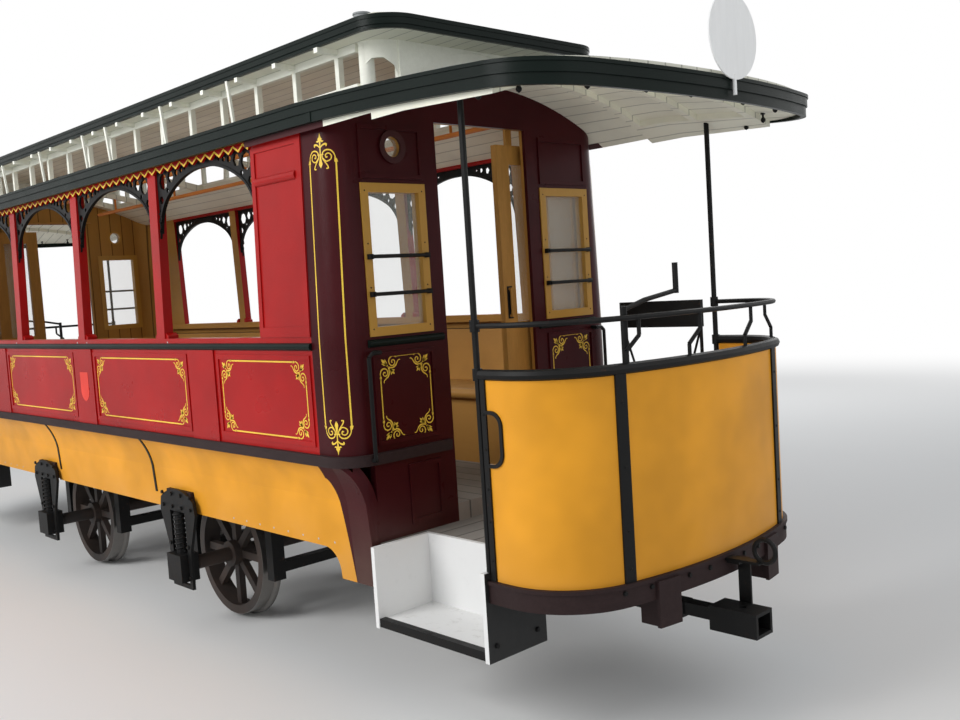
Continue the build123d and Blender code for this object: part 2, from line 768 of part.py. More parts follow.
HOOD_SECTIONS = [
    # x, low edge, low crown, top edge, top crown
    (END_X, ceiling_z(ROOF_HALF), CROWN_Z, EAVES_Z, ROOF_TOP_CROWN),
    (3400, 2668, 2885, 2762, 2925),
    (3900, 2645, 2775, 2732, 2830),
    (HOOD_X, 2612, 2630, 2688, 2712),
]
hood_faces = []
for x, low_edge, low_crown, top_edge, top_crown in HOOD_SECTIONS:
    plane = Plane(origin=(x, 0, 0), x_dir=(0, 1, 0), z_dir=(1, 0, 0))
    hood_faces.append(plane * roof_section(ROOF_HALF, low_edge, low_crown, top_edge, top_crown))
hood = loft(hood_faces, ruled=True)
hood = hood & extrude(Pos(0, 0, 2500) * end_area(HOOD, END_X, FASCIA_T), 600)
ribs = Pos(0, 0, -HOOD_RIB_H) * hood
hood += roof_end
for x in HOOD_RIB_XS:
    hood += ribs & block(x - HOOD_RIB_W / 2, x + HOOD_RIB_W / 2, -1000, 1000, 2400, 3000)
for s in (-1, 1):
    hood += ribs & block(HOOD_RIB_XS[0], HOOD_RIB_XS[2], s * HOOD_EDGE_Y, s * 1000, 2400, 3000)
save_both(hood, "hoods")


def fall(z):
    """Edge line of the fascia along the car, as (x, z), level then falling."""
    return [
        Line((0, z), (FASCIA_START, z)),
        ThreePointArc(
            (FASCIA_START, z),
            ((FASCIA_START + HOOD_X) / 2, z - FASCIA_DROP * 0.3),
            (HOOD_X + 20, z - FASCIA_DROP),
        ),
    ]


def fascia_band(z0, z1):
    low, top = fall(z0), fall(z1)
    return along_y(
        outline(
            *low,
            Line(low[-1] @ 1, top[-1] @ 1),
            *top,
            Line(top[0] @ 0, low[0] @ 0),
        ),
        -1200,
        1200,
    )


fascia = extrude(Pos(0, 0, 2400) * end_band(HOOD, 0, 0, FASCIA_T), 600)
mould = extrude(Pos(0, 0, 2400) * end_band(HOOD, 0, -MOULD_OUT, FASCIA_T), 600)
fascia = fascia & fascia_band(FASCIA_LOW_Z, FASCIA_LOW_Z + FASCIA_FLAT_H)
round_part = extrude(Pos(0, 0, 2400) * end_band(HOOD, 0, -FASCIA_ROUND_OUT, FASCIA_T), 600)
fascia += round_part & fascia_band(FASCIA_LOW_Z + FASCIA_FLAT_H, FASCIA_LOW_Z + FASCIA_H)
mould = mould & fascia_band(FASCIA_LOW_Z + FASCIA_H, FASCIA_LOW_Z + FASCIA_H + MOULD_H)
save_both(fascia + mould, "fascia")

# Clerestory

kerb = block(-CLER_CORNER_X, CLER_CORNER_X, -CLER_HALF, -CLER_HALF + 30, 2700, CLER_BASE_Z)
under_roof_top = along_x(
    outline(
        ThreePointArc((-ROOF_HALF, EAVES_Z), (0, ROOF_TOP_CROWN), (ROOF_HALF, EAVES_Z)),
        Line((ROOF_HALF, EAVES_Z), (ROOF_HALF, 2400)),
        Line((ROOF_HALF, 2400), (-ROOF_HALF, 2400)),
        Line((-ROOF_HALF, 2400), (-ROOF_HALF, EAVES_Z)),
    ),
    -END_X - 20,
    END_X + 20,
)
kerb -= under_roof_top
cler = kerb
post_top = CLER_TOP_Z
for i in range(CLER_POSTS):
    x = (i - (CLER_POSTS - 1) / 2) * CLER_PITCH
    x0, x1 = x - CLER_POST_W / 2, x + CLER_POST_W / 2
    cler += block(x0, x1, -CLER_HALF, -CLER_HALF + 30, CLER_BASE_Z, post_top)
    cler += block(x0, x1, -RAFTER_END, -CLER_HALF, post_top - 24, post_top)
cler += block(
    -CLER_CORNER_X, CLER_CORNER_X,
    -CLER_HALF, -CLER_HALF + 30,
    post_top - CLER_PLATE_H, post_top,
)
stay_area = make_face(Polyline(
    (-STAY_FOOT_Y, 2800), (-STAY_FOOT_Y + STAY_T, 2800),
    (-RAFTER_END + STAY_T, post_top), (-RAFTER_END, post_top), close=True,
))
stays = Part()
for x in STAY_XS:
    stays += along_x(stay_area, x - STAY_W / 2, x + STAY_W / 2)
stays -= under_roof_top

end_panel = block(
    END_X - 30, END_X,
    -CLER_PANEL_HALF, CLER_PANEL_HALF,
    ROOF_TOP_CROWN - 60, post_top,
)
end_panel += block(END_X, END_X + 8, -CLER_PANEL_HALF, CLER_PANEL_HALF, ROOF_TOP_CROWN - 60, post_top)
end_panel -= along_x(
    outline(
        ThreePointArc(
            (-CLER_ARCH_HALF, CLER_ARCH_FOOT_Z), (0, CLER_ARCH_TOP_Z), (CLER_ARCH_HALF, CLER_ARCH_FOOT_Z)
        ),
        Line((CLER_ARCH_HALF, CLER_ARCH_FOOT_Z), (CLER_ARCH_HALF, 2800)),
        Line((CLER_ARCH_HALF, 2800), (-CLER_ARCH_HALF, 2800)),
        Line((-CLER_ARCH_HALF, 2800), (-CLER_ARCH_HALF, CLER_ARCH_FOOT_Z)),
    ),
    END_X,
    END_X + 20,
)
wall_x, wall_y = END_X - CLER_WALL_R, CLER_PANEL_HALF
for s in (-1, 1):
    x, y = CLER_CORNER_X + CLER_CORNER_R, s * (CLER_HALF - CLER_CORNER_R)
    end_panel += pin((x, y, 2800), (x, y, post_top), CLER_CORNER_R)
    wall = Circle(CLER_WALL_R) - Circle(CLER_WALL_R - CLER_WALL_T)
    wall &= Pos(CLER_WALL_R / 2, s * CLER_WALL_R / 2) * Rectangle(CLER_WALL_R, CLER_WALL_R)
    wall = extrude(Pos(wall_x, s * wall_y, 2800) * wall, post_top - 2800)
    k = CLER_WALL_R * math.sqrt(0.5)
    mid = Vector(wall_x + k, s * (wall_y + k), CLER_BASE_Z + 18)
    out = Vector(60, s * 60, 0)
    end_panel += wall - bar(mid - out, mid + out, CLER_ARCH_R, 10)
end_panel -= under_roof_top
save_both(group([cler, end_panel, stays]), "clerestory")



def edge_plan(d):
    """Plan of the upper roof, moved in by d."""
    return RectangleRounded(2 * (CLER_ROOF_X - d), 2 * (CLER_ROOF_HALF - d), CLER_ROOF_R - d)


EDGE_LAYERS = [
    # lower edge, upper edge, set back
    (0, 18, 8),
    (18, 46, 3),
    (46, CLER_EDGE_H, 0),
]
inner_plan = edge_plan(25)
moulding = Part()
for z0, z1, back in EDGE_LAYERS:
    moulding += extrude(Pos(0, 0, CLER_TOP_Z + z0) * (edge_plan(back) - inner_plan), z1 - z0)
save(moulding, "clerestory_moulding")
top_z = CLER_TOP_Z + CLER_EDGE_H
across = along_x(
    outline(
        Line((-CLER_ROOF_HALF, CLER_TOP_Z), (CLER_ROOF_HALF, CLER_TOP_Z)),
        Line((CLER_ROOF_HALF, CLER_TOP_Z), (CLER_ROOF_HALF, top_z)),
        ThreePointArc((CLER_ROOF_HALF, top_z), (0, top_z + CLER_RISE), (-CLER_ROOF_HALF, top_z)),
        Line((-CLER_ROOF_HALF, top_z), (-CLER_ROOF_HALF, CLER_TOP_Z)),
    ), -CLER_ROOF_X, CLER_ROOF_X)
lengthways = along_y(
    outline(
        Line((-CLER_ROOF_X, CLER_TOP_Z), (CLER_ROOF_X, CLER_TOP_Z)),
        Line((CLER_ROOF_X, CLER_TOP_Z), (CLER_ROOF_X, top_z)),
        ThreePointArc((CLER_ROOF_X, top_z), (0, top_z + 2 * CLER_RISE), (-CLER_ROOF_X, top_z)),
        Line((-CLER_ROOF_X, top_z), (-CLER_ROOF_X, CLER_TOP_Z)),
    ), -CLER_ROOF_HALF, CLER_ROOF_HALF)
upper_roof = across & lengthways & extrude(Pos(0, 0, CLER_TOP_Z) * inner_plan, 400)
save(upper_roof, "clerestory_roof")

# Platforms

platform = extrude(Pos(0, 0, PLATFORM_Z - PLANK_T) * end_area(DASH, END_X - WALL, DASH_T), PLANK_T)
for s in (-1, 1):
    platform -= block(
        END_X, STEP_X1,
        s * (STEP_RISER_Y - STEP_BACK_T), s * 1000,
        PLATFORM_Z - 60, PLATFORM_Z + 10,
    )
platform -= block(END_X - WALL - 5, END_X, -1000, -HALF_WIDTH + CORNER_R, 600, 900)
platform -= block(END_X - WALL - 5, END_X, HALF_WIDTH - CORNER_R, 1000, 600, 900)
save_both(platform, "platform_floors")
rim = extrude(Pos(0, 0, DASH_LOW_Z - RIM_H) * end_band(DASH, STEP_X1, -RIM_T, 0), RIM_H)
rim += extrude(
    Pos(0, 0, DASH_LOW_Z - RIM_LIP_H) * end_band(DASH, STEP_X1, -RIM_T - RIM_LIP_OUT, 0), RIM_LIP_H
)
rim -= block(STEP_X1 - 50, STEP_X1, -1000, 1000, 500, 900)
bar_slot = block(
    DASH_X - 60, DASH_X + 60,
    -HOOK_BAR_W / 2 - 1, HOOK_BAR_W / 2 + 1,
    HOOK_BAR_Z - 1, HOOK_BAR_Z + HOOK_BAR_T + 1,
)
rim -= bar_slot
save_both(rim, "platform_rims")

dash = extrude(Pos(0, 0, DASH_LOW_Z) * end_band(DASH, DASH_START, 0, DASH_T), DASH_TOP_Z - DASH_LOW_Z)
dash -= block(DASH_START - 50, DASH_START, -1000, 1000, 500, 1900)


def grip_area(d):
    """D of the grip at the end of the dash, as (x, z), moved in by d."""
    x0, x1 = DASH_START + END_STRIP_W - 6, GRIP_X - d
    z0, z1 = GRIP_Z[0] + d, GRIP_Z[1] - d
    r = GRIP_R - d
    k = r * (1 - math.sqrt(0.5))
    return outline(
        Line((x0, z0), (x1 - r, z0)),
        ThreePointArc((x1 - r, z0), (x1 - k, z0 + k), (x1, z0 + r)),
        Line((x1, z0 + r), (x1, z1 - r)),
        ThreePointArc((x1, z1 - r), (x1 - k, z1 - k), (x1 - r, z1)),
        Line((x1 - r, z1), (x0, z1)),
        Line((x0, z1), (x0, z0)),
    )


dash -= along_y(grip_area(GRIP_W), -1000, 1000)
save_both(dash, "dashes")


def rail_turn(centre, r, z, area, start, arc):
    """Part of a rail bent round an upright axis, angles in degrees."""
    t = math.radians(start)
    out = Vector(math.cos(t), math.sin(t), 0)
    origin = Vector(*centre, z) + out * r
    plane = Plane(origin=origin, x_dir=out, z_dir=out.cross(Vector(0, 0, 1)))
    return revolve(plane * area, Axis((*centre, 0), (0, 0, 1)), arc)


def bent_rail(shape, start, d, z, area):
    """Rail of a given section round a bowed end."""
    half, r, front, front_r = shape
    front_c, cx, cy = end_centres(*shape)
    turn = math.degrees(math.atan2(cy, cx - front_c))
    rail = rail_turn((cx, -cy), r - d, z, area, -90, 90 - turn)
    rail += rail_turn((front_c, 0), front_r - d, z, area, -turn, 2 * turn)
    rail += rail_turn((cx, cy), r - d, z, area, turn, 90 - turn)
    for s in (-1, 1):
        y = s * (half - d)
        plane = Plane(origin=(start, y, z), x_dir=(0, s, 0), z_dir=(s, 0, 0))
        rail += extrude(plane * area, s * (cx - start))
    return rail


top_rail_z = DASH_TOP_Z + RAIL_R
trim = bent_rail(DASH, DASH_START, DASH_T / 2, top_rail_z, RegularPolygon(RAIL_R, 8))
strap = extrude(
    Pos(0, 0, DASH_LOW_Z) * (end_band(DASH, DASH_START, -STRAP_T, 0)), DASH_TOP_Z + 8 - DASH_LOW_Z
)
for s in (-1, 1):
    trim += strap & block(DASH_START, 4300, s * STRAP_Y - STRAP_W / 2, s * STRAP_Y + STRAP_W / 2, 600, 1700)
    trim += strap & block(DASH_START, DASH_START + END_STRIP_W, s * 1000, s * 700, 600, 1700)
    face_y = s * DASH_HALF
    grip = along_y(grip_area(0) - grip_area(GRIP_W), face_y - s * (DASH_T + 4), face_y + s * STRAP_T)
    trim += grip - dash
save_both(trim, "dash_trim")

hood_z = 2700


def pintle(s, z):
    """Hinge pin of the gate on its lug, on the post at the gate's side."""
    if s < 0:
        return Part()
    lug = block(GATE_HINGE_X - 8, post_x, GATE_HINGE_Y - 8, GATE_HINGE_Y + 8, z - 8, z + 2)
    pin = Pos(GATE_HINGE_X, GATE_HINGE_Y, z + 20) * Cylinder(PIN_R, 38)
    return lug + pin


posts = Part()
post_x = DASH_START - CANOPY_POST_R - 4
for s in (-1, 1):
    y = s * (CANOPY_POST_Y - DASH_T)
    posts += bar((post_x, y, PLATFORM_Z), (post_x, y, hood_z), CANOPY_POST_R, 8)
    for z in GATE_HINGE_Z:
        posts += pintle(s, z)
    for z in (top_rail_z, HANDRAIL_Z):
        posts += bar((post_x, y, z - 24), (post_x, y, z + 24), CANOPY_POST_R + 7, 8)
posts = posts - hood
posts -= block(DASH_START, DASH_X, -HALF_WIDTH, HALF_WIDTH, DASH_LOW_Z, HANDRAIL_Z - 60)

handrail = bent_rail(DASH, post_x, DASH_T / 2, HANDRAIL_Z, RegularPolygon(HANDRAIL_R, 8))
for x, y, foot_x, foot_y in BRACKETS:
    head = (x - 3, y, HANDRAIL_Z)
    bend = (x - 3, y, HANDRAIL_Z - 70)
    knee = (foot_x - 3, foot_y, HANDRAIL_Z - 128)
    foot = (foot_x - 3, foot_y, top_rail_z + 10)
    for p, q in ((head, bend), (bend, knee), (knee, foot)):
        handrail += bar(p, q, 9, 6)
handrail -= trim
for s in (-1, 1):
    y = s * IRON_Y
    iron = bar((IRON_X, y, IRON_Z[0]), (IRON_X, y, IRON_Z[1] - 20), IRON_R, 6)
    iron += bar((IRON_X, y, IRON_Z[1] - 20), (IRON_X, y - s * 22, IRON_Z[1]), IRON_R, 6)
    iron += bar((IRON_X, y - s * 22, IRON_Z[1]), (IRON_X, y - s * 70, IRON_Z[1]), IRON_R, 6)
    iron += bar((END_X, y - s * 60, IRON_Z[1]), (IRON_X + 8, y - s * 60, IRON_Z[1]), IRON_R, 6)
    iron += bar((END_X - 30, y, IRON_Z[0]), (IRON_X + 8, y, IRON_Z[0]), IRON_R, 6)
    posts += iron - bottom_rail - corner_posts - bulkhead
save_both(posts + handrail, "handrails")

# Steps

steps = Part()
nosings = Part()
for s in (-1, 1):
    for x in (STEP_X0, STEP_X1 - STEP_T):
        steps += block(
            x, x + STEP_T,
            s * (STEP_RISER_Y - STEP_BACK_T), s * STEP_OUT_Y,
            STEP_TREAD_Z - 40, PLATFORM_Z,
        )
    steps += block(
        STEP_X0 + STEP_T, STEP_X1 - STEP_T,
        s * (STEP_RISER_Y - STEP_BACK_T), s * STEP_RISER_Y,
        STEP_TREAD_Z - 28, PLATFORM_Z,
    )
    steps += block(
        STEP_X0 + STEP_T, STEP_X1 - STEP_T,
        s * STEP_RISER_Y, s * (STEP_OUT_Y - 40),
        STEP_TREAD_Z - 28, STEP_TREAD_Z,
    )
    nosings += block(
        STEP_X0 + STEP_T, STEP_X1 - STEP_T,
        s * (STEP_OUT_Y - 40), s * (STEP_OUT_Y - 5),
        STEP_TREAD_Z - 34, STEP_TREAD_Z + 4,
    )
save_both(steps, "steps")
save_both(nosings, "step_nosings")

# Underframe: sills, crossbearers between them, and the bearers of the platforms

sill_top = FLOOR_Z - FLOOR_T
sills = Part()
for s in (-1, 1):
    sills += block(-SILL_X, SILL_X, s * 750, s * 820, 720, sill_top)
    for x in (-WHEELBASE / 2, WHEELBASE / 2):
        sills += block(
            x - PACK_W / 2 + 2, x + PACK_W / 2 - 2,
            s * 820, s * GUARD_Y0,
            725, PACK_TOP_Z - 2,
        )
save(sills, "sills")
crossbearers = Part()
for x in (-2760, -HANGER_XS[1], -HANGER_XS[0], 0, HANGER_XS[0], HANGER_XS[1], 2760):
    crossbearers += block(x - 45, x + 45, -750, 750, 720, sill_top)
draw_carrier = block(3320, 3420, -BEARER_Y + BEARER_W / 2, BEARER_Y - BEARER_W / 2, 640, 720)
draw_carrier += block(3340, 3400, -30, 30, DRAWBAR_TOP_Z, 640)
save(group([crossbearers, draw_carrier, turned(draw_carrier)]), "crossbearers")

bearers = Part()
for s in (-1, 1):
    y0, y1 = s * (BEARER_Y - BEARER_W / 2), s * (BEARER_Y + BEARER_W / 2)
    bearer = block(BEARER_X, BEARER_END, y0, y1, 620, 720)
    bearer += block(SILL_X, BEARER_END, y0, y1, 720, PLATFORM_Z - PLANK_T)
    bearer += block(BEARER_END - 70, 4190, y0, y1, BUMPER_LOW_Z, DASH_LOW_Z - RIM_H)
    front = end_area(DASH, BEARER_X - 50, -RIM_T - BUMPER_T)
    bearer &= extrude(Pos(0, 0, 500) * front, 400)
    plate = end_band(DASH, STEP_X1, -RIM_T - BUMPER_T, -RIM_T)
    plate = extrude(Pos(0, 0, BUMPER_LOW_Z) * plate, DASH_LOW_Z - RIM_LIP_H - BUMPER_LOW_Z)
    bearer += plate & block(3900, 4300, s * 331, s * 449, BUMPER_LOW_Z, DASH_LOW_Z)
    bearers += bearer
save_both(bearers, "platform_bearers")

# Axle guards, boxes, springs

guards = Part()
for x in (-WHEELBASE / 2, WHEELBASE / 2):
    right = [(w, z) for w, z in zip(GUARD_HALF, GUARD_ZS)]
    left = [(-w, z) for w, z in reversed(right)]
    plate = outline(
        *[Line(p, q) for p, q in zip(right, right[1:])],
        ThreePointArc(right[-1], (0, GUARD_TOP_Z), left[0]),
        *[Line(p, q) for p, q in zip(left, left[1:])],
        Line(left[-1], right[0]),
    )
    plate -= Pos(0, sum(SLOT_Z) / 2) * Rectangle(SLOT_W, SLOT_Z[1] - SLOT_Z[0])
    guards += along_y(Pos(x, 0) * plate, -GUARD_Y0 - GUARD_T, -GUARD_Y0)
save_both(guards, "axle_guards")

boxes = Part()
springs = Part()
for x in (-WHEELBASE / 2, WHEELBASE / 2):
    box_solid = block(x - BOX_W / 2, x + BOX_W / 2, -945, -830, AXLE_Z - BOX_H / 2, AXLE_Z + BOX_H / 2)
    box_solid -= pin((x, -925, AXLE_Z), (x, -800, AXLE_Z), JOURNAL_R + 0.5)
    boxes += box_solid
    y = -GUARD_Y0 - GUARD_T / 2
    springs += bar((x, y, AXLE_Z + BOX_H / 2), (x, y, SLOT_Z[1]), 30, 8)
save_both(group([boxes, springs]), "axle_boxes")

# Wheelsets


def wheel_area():
    """Half section of rim and tyre, as (radius, y) from the inner face out."""
    return make_face(Polyline(
        (FLANGE_R - 75, TYRE_IN), (FLANGE_R, TYRE_IN), (FLANGE_R, TREAD_START - 12),
        (TREAD_R, TREAD_START), (TREAD_R - 4, TYRE_OUT), (FLANGE_R - 75, TYRE_OUT), close=True,
    ))


def wheel():
    rim_solid = revolve(Plane.XY * wheel_area(), Axis.Y)
    w = rim_solid + Pos(0, 521, 0) * Rot(90, 0, 0) * Cylinder(HUB_R, 130)
    spoke = Pos(0, 521, (HUB_R + FLANGE_R - 75) / 2) * Box(46, 40, FLANGE_R - 75 - HUB_R + 20)
    for i in range(SPOKES):
        w += Rot(0, 360 / SPOKES * i, 0) * spoke
    return w


one = wheel()
axle = Rot(90, 0, 0) * Cylinder(AXLE_R, 1600) + Rot(90, 0, 0) * Cylinder(JOURNAL_R, 1840)
wheels = group([one, mirror_y(one)]) - axle
for x, name in ((WHEELBASE / 2, "front"), (-WHEELBASE / 2, "rear")):
    save(Pos(x, 0, AXLE_Z) * group([wheels, axle]), "wheelset_" + name)

# Brake gear

hangers = Part()
for x in (-HANGER_XS[1], -HANGER_XS[0], HANGER_XS[0], HANGER_XS[1]):
    for y in (-537, 537):
        hangers += block(x - 35, x + 35, y - 40, y + 40, 300, 720)
    hangers += block(x - 30, x + 30, -497, 497, 340, 400)
crank_x, crank_y, crank_z = CRANK_END
elbow = (BRAKE_X - 12, -BRAKE_Y + 150, crank_z - 28)
column = bar((BRAKE_X, -BRAKE_Y, PLATFORM_Z), (BRAKE_X, -BRAKE_Y, 1815), 14)
column += bar((BRAKE_X, -BRAKE_Y, 1800), elbow, 10, 8)
column += bar(elbow, (crank_x, -crank_y, crank_z), 10, 8)
column += bar((crank_x, -crank_y, crank_z - 12), (crank_x, -crank_y, CRANK_TOP_Z), 12)
save(group([hangers, column, turned(column)]), "brake_gear")

# Entrance gates on the side away from the doorway's open leaf

gate = block(GATE_X0, GATE_X1, GATE_Y - 12, GATE_Y + 12, GATE_BOARD_Z, GATE_TOP_Z)
gate_legs = (GATE_X0 + 10, GATE_X1 - 10)
gate_mid = sum(gate_legs) / 2
for x in gate_legs:
    gate += bar((x, GATE_Y, GATE_LOW_Z), (x, GATE_Y, GATE_BOARD_Z), 10, 6)
gate += bar((gate_legs[0], GATE_Y, 900), (gate_legs[1], GATE_Y, 900), 8, 6)
for x in gate_legs:
    gate += bar((x, GATE_Y, GATE_BOARD_Z), (gate_mid, GATE_Y, 900), 7, 6)
for z in GATE_HINGE_Z:
    eye = Pos(GATE_HINGE_X, GATE_HINGE_Y, z + 18) * Cylinder(10, 30)
    eye += block(gate_legs[1], GATE_HINGE_X, GATE_Y - 4, GATE_Y + 8, z + 3, z + 33)
    eye -= Pos(GATE_HINGE_X, GATE_HINGE_Y, z + 18) * Cylinder(PIN_R + 0.3, 40)
    gate += eye
save_pair(gate, "gate")

# Draw gear

ring_plane = Plane(origin=(RING_X, 0, RING_Z), x_dir=(1, 0, 0), z_dir=(0, 0, 1))
hook = revolve(
    ring_plane * Pos(RING_R, 0) * RegularPolygon(RING_BAR_R, 6),
    Axis((RING_X, 0, RING_Z), (0, 1, 0)),
)
hook += block(
    DASH_X - 240, RING_X - 18,
    -HOOK_BAR_W / 2, HOOK_BAR_W / 2,
    HOOK_BAR_Z, HOOK_BAR_Z + HOOK_BAR_T,
)
hook += block(STRAP_X[0], STRAP_X[1], -HOOK_BAR_W / 2, 72, HOOK_BAR_Z - 10, HOOK_BAR_Z)
hook += block(STRAP_X[0], STRAP_X[1], 62, 72, 440, HOOK_BAR_Z)
coupler = block(4110, COUPLER_X, -62, 62, 417, 522) - block(4125, COUPLER_X + 1, -47, 47, 432, 507)
coupler -= Pos(4236, 0, COUPLER_Z) * Cylinder(16, 200)
coupler += block(3960, 4110, -30, 30, 445, DRAWBAR_TOP_Z)
coupler += block(3300, 3960, -38, 38, 432, DRAWBAR_TOP_Z)
save_both(group([hook, coupler]), "draw_gear")

# Route disc on the front hood

disc_x = HOOD_X + MOULD_OUT + 8
disc = Pos(disc_x, 0, 2850) * Rot(0, 90, 0) * Cylinder(170, 6)
disc += bar((disc_x, 0, 2620), (disc_x, 0, 2700), 8)
save(disc, "route_disc")
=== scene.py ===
"""Looks of the two-axle horse tram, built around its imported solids."""

import math

import bmesh
import bpy
from mathutils import Matrix, Vector


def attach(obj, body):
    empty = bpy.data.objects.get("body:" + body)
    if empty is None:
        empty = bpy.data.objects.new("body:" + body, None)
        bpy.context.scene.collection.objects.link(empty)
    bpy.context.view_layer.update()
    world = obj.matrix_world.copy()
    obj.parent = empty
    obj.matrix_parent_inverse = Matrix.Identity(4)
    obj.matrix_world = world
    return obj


bl_info = {
    "name": "Horse Tram Looks",
    "version": (1, 0, 0),
    "blender": (4, 5, 0),
    "location": "3D View > Sidebar > Tram",
    "description": "Paint, timber, iron and glass, gold lining and small fittings of a horse tram",
    "category": "Object",
}

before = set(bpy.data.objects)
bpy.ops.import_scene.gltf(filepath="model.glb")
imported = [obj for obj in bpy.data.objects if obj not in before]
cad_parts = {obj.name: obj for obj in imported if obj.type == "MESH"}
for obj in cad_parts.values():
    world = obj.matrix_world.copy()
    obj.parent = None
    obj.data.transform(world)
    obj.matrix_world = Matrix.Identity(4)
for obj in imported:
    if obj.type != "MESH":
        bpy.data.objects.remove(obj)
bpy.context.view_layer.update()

# Sizes of the car that the looks are fitted to, in metres

HALF_WIDTH = 0.950      # outer face of the sides up to the sill
SILL_Z = 1.740          # where the upper sides start to lean in
CORNICE_Z = 2.685
LEAN = 0.025 / (CORNICE_Z - SILL_Z)
BAY = 1.1175            # between the middles of the side posts
POST_HALF = 0.047       # half the width of a side post
END_X = 2.850           # outer face of the bulkheads
CORNER_R = 0.140        # rounding of the corner posts
CORNER_X = END_X - CORNER_R
KNEE_Z = 0.960          # knee of the rockers
RAIL_Z = 1.142          # upper edge of the rockers
AXLE_X = 1.025
AXLE_Z = 0.393
TREAD_R = 0.3695
DASH_R = 2.400          # sweep of the dashes
DASH_TIP_X = 4.160
STEP_X = 3.615          # outer face of the step boxes
GUARD_Y = 0.898         # outer face of the axle guards
LEAF_X = 2.786          # outer face of the sliding doors
POST_XS = (-BAY, 0.0, BAY)


# Sizes and colours that a user would change


def size(name, text, value):
    return bpy.props.FloatProperty(name=name, description=text, default=value, min=0.0, unit="LENGTH")


def colour(name, text, value):
    return bpy.props.FloatVectorProperty(
        name=name, description=text, default=value, size=3, min=0.0, max=1.0, subtype="COLOR"
    )


class TramPaint(bpy.types.PropertyGroup):
    red: colour("Red", "Enamel of the side panels", (0.37, 0.0045, 0.004))
    maroon: colour("Maroon", "Enamel of the bulkheads and corner posts", (0.050, 0.006, 0.008))
    ochre: colour("Ochre", "Enamel of the rockers and dashes", (0.80, 0.345, 0.022))
    varnish: colour("Varnish", "Varnished inner boards", (0.46, 0.235, 0.055))
    cream: colour("Cream", "Paint of the ceilings and the clerestory", (0.93, 0.915, 0.78))
    fascia: colour("Fascia", "Green-black paint of the roof edge", (0.006, 0.011, 0.009))
    iron: colour("Iron", "Black paint of the ironwork", (0.006, 0.006, 0.006))
    gold: colour("Gold", "Lining paint", (0.93, 0.60, 0.07))
    white: colour("White", "Paint of the steps and the disc", (0.84, 0.84, 0.83))
    plank: colour("Plank", "Worn floor planks", (0.28, 0.26, 0.235))
    frames: colour("Window frames", "Yellow-brown enamel of the window frames", (0.50, 0.27, 0.045))
    oak: colour("Oak", "Dark rails of the body and the platform rims", (0.026, 0.014, 0.014))


class TramSizes(bpy.types.PropertyGroup):
    line: size("Line", "Width of a gold line", 0.0075)
    board: size("Board", "Width of a ceiling board", 0.092)
    screw: size("Screw", "Radius of a screw head", 0.006)


# Shader nodes as expressions


class Wire:
    """An output of a finish's nodes that can be used in sums and products."""

    def __init__(self, finish, socket):
        self.finish = finish
        self.socket = socket

    def _math(self, operation, *values):
        return self.finish.node("ShaderNodeMath", {"operation": operation}, *values)

    def __add__(self, other):
        return self._math("ADD", self, other)

    def __sub__(self, other):
        return self._math("SUBTRACT", self, other)

    def __rsub__(self, other):
        return self._math("SUBTRACT", other, self)

    def __mul__(self, other):
        return self._math("MULTIPLY", self, other)

    def __truediv__(self, other):
        return self._math("DIVIDE", self, other)

    def __pow__(self, other):
        return self._math("POWER", self, other)

    __radd__ = __add__
    __rmul__ = __mul__

    def above(self, edge, soft=0.0):
        """0 below the edge, 1 above it, over a soft width; the edge may itself be a wire."""
        if soft == 0.0:
            return self._math("GREATER_THAN", self, edge)
        return self.finish.node(
            "ShaderNodeMapRange", {"interpolation_type": "SMOOTHSTEP"}, self, edge - soft, edge + soft
        )

    def unsigned(self):
        return self._math("ABSOLUTE", self)

    def at_least(self, floor):
        return self._math("MAXIMUM", self, floor)

    def wrap(self, step):
        """Distance from the nearest multiple of a step."""
        return self._math("PINGPONG", self, step / 2)

    def whole(self, step):
        """Number of the step that this value is in."""
        return self._math("FLOOR", self / step)


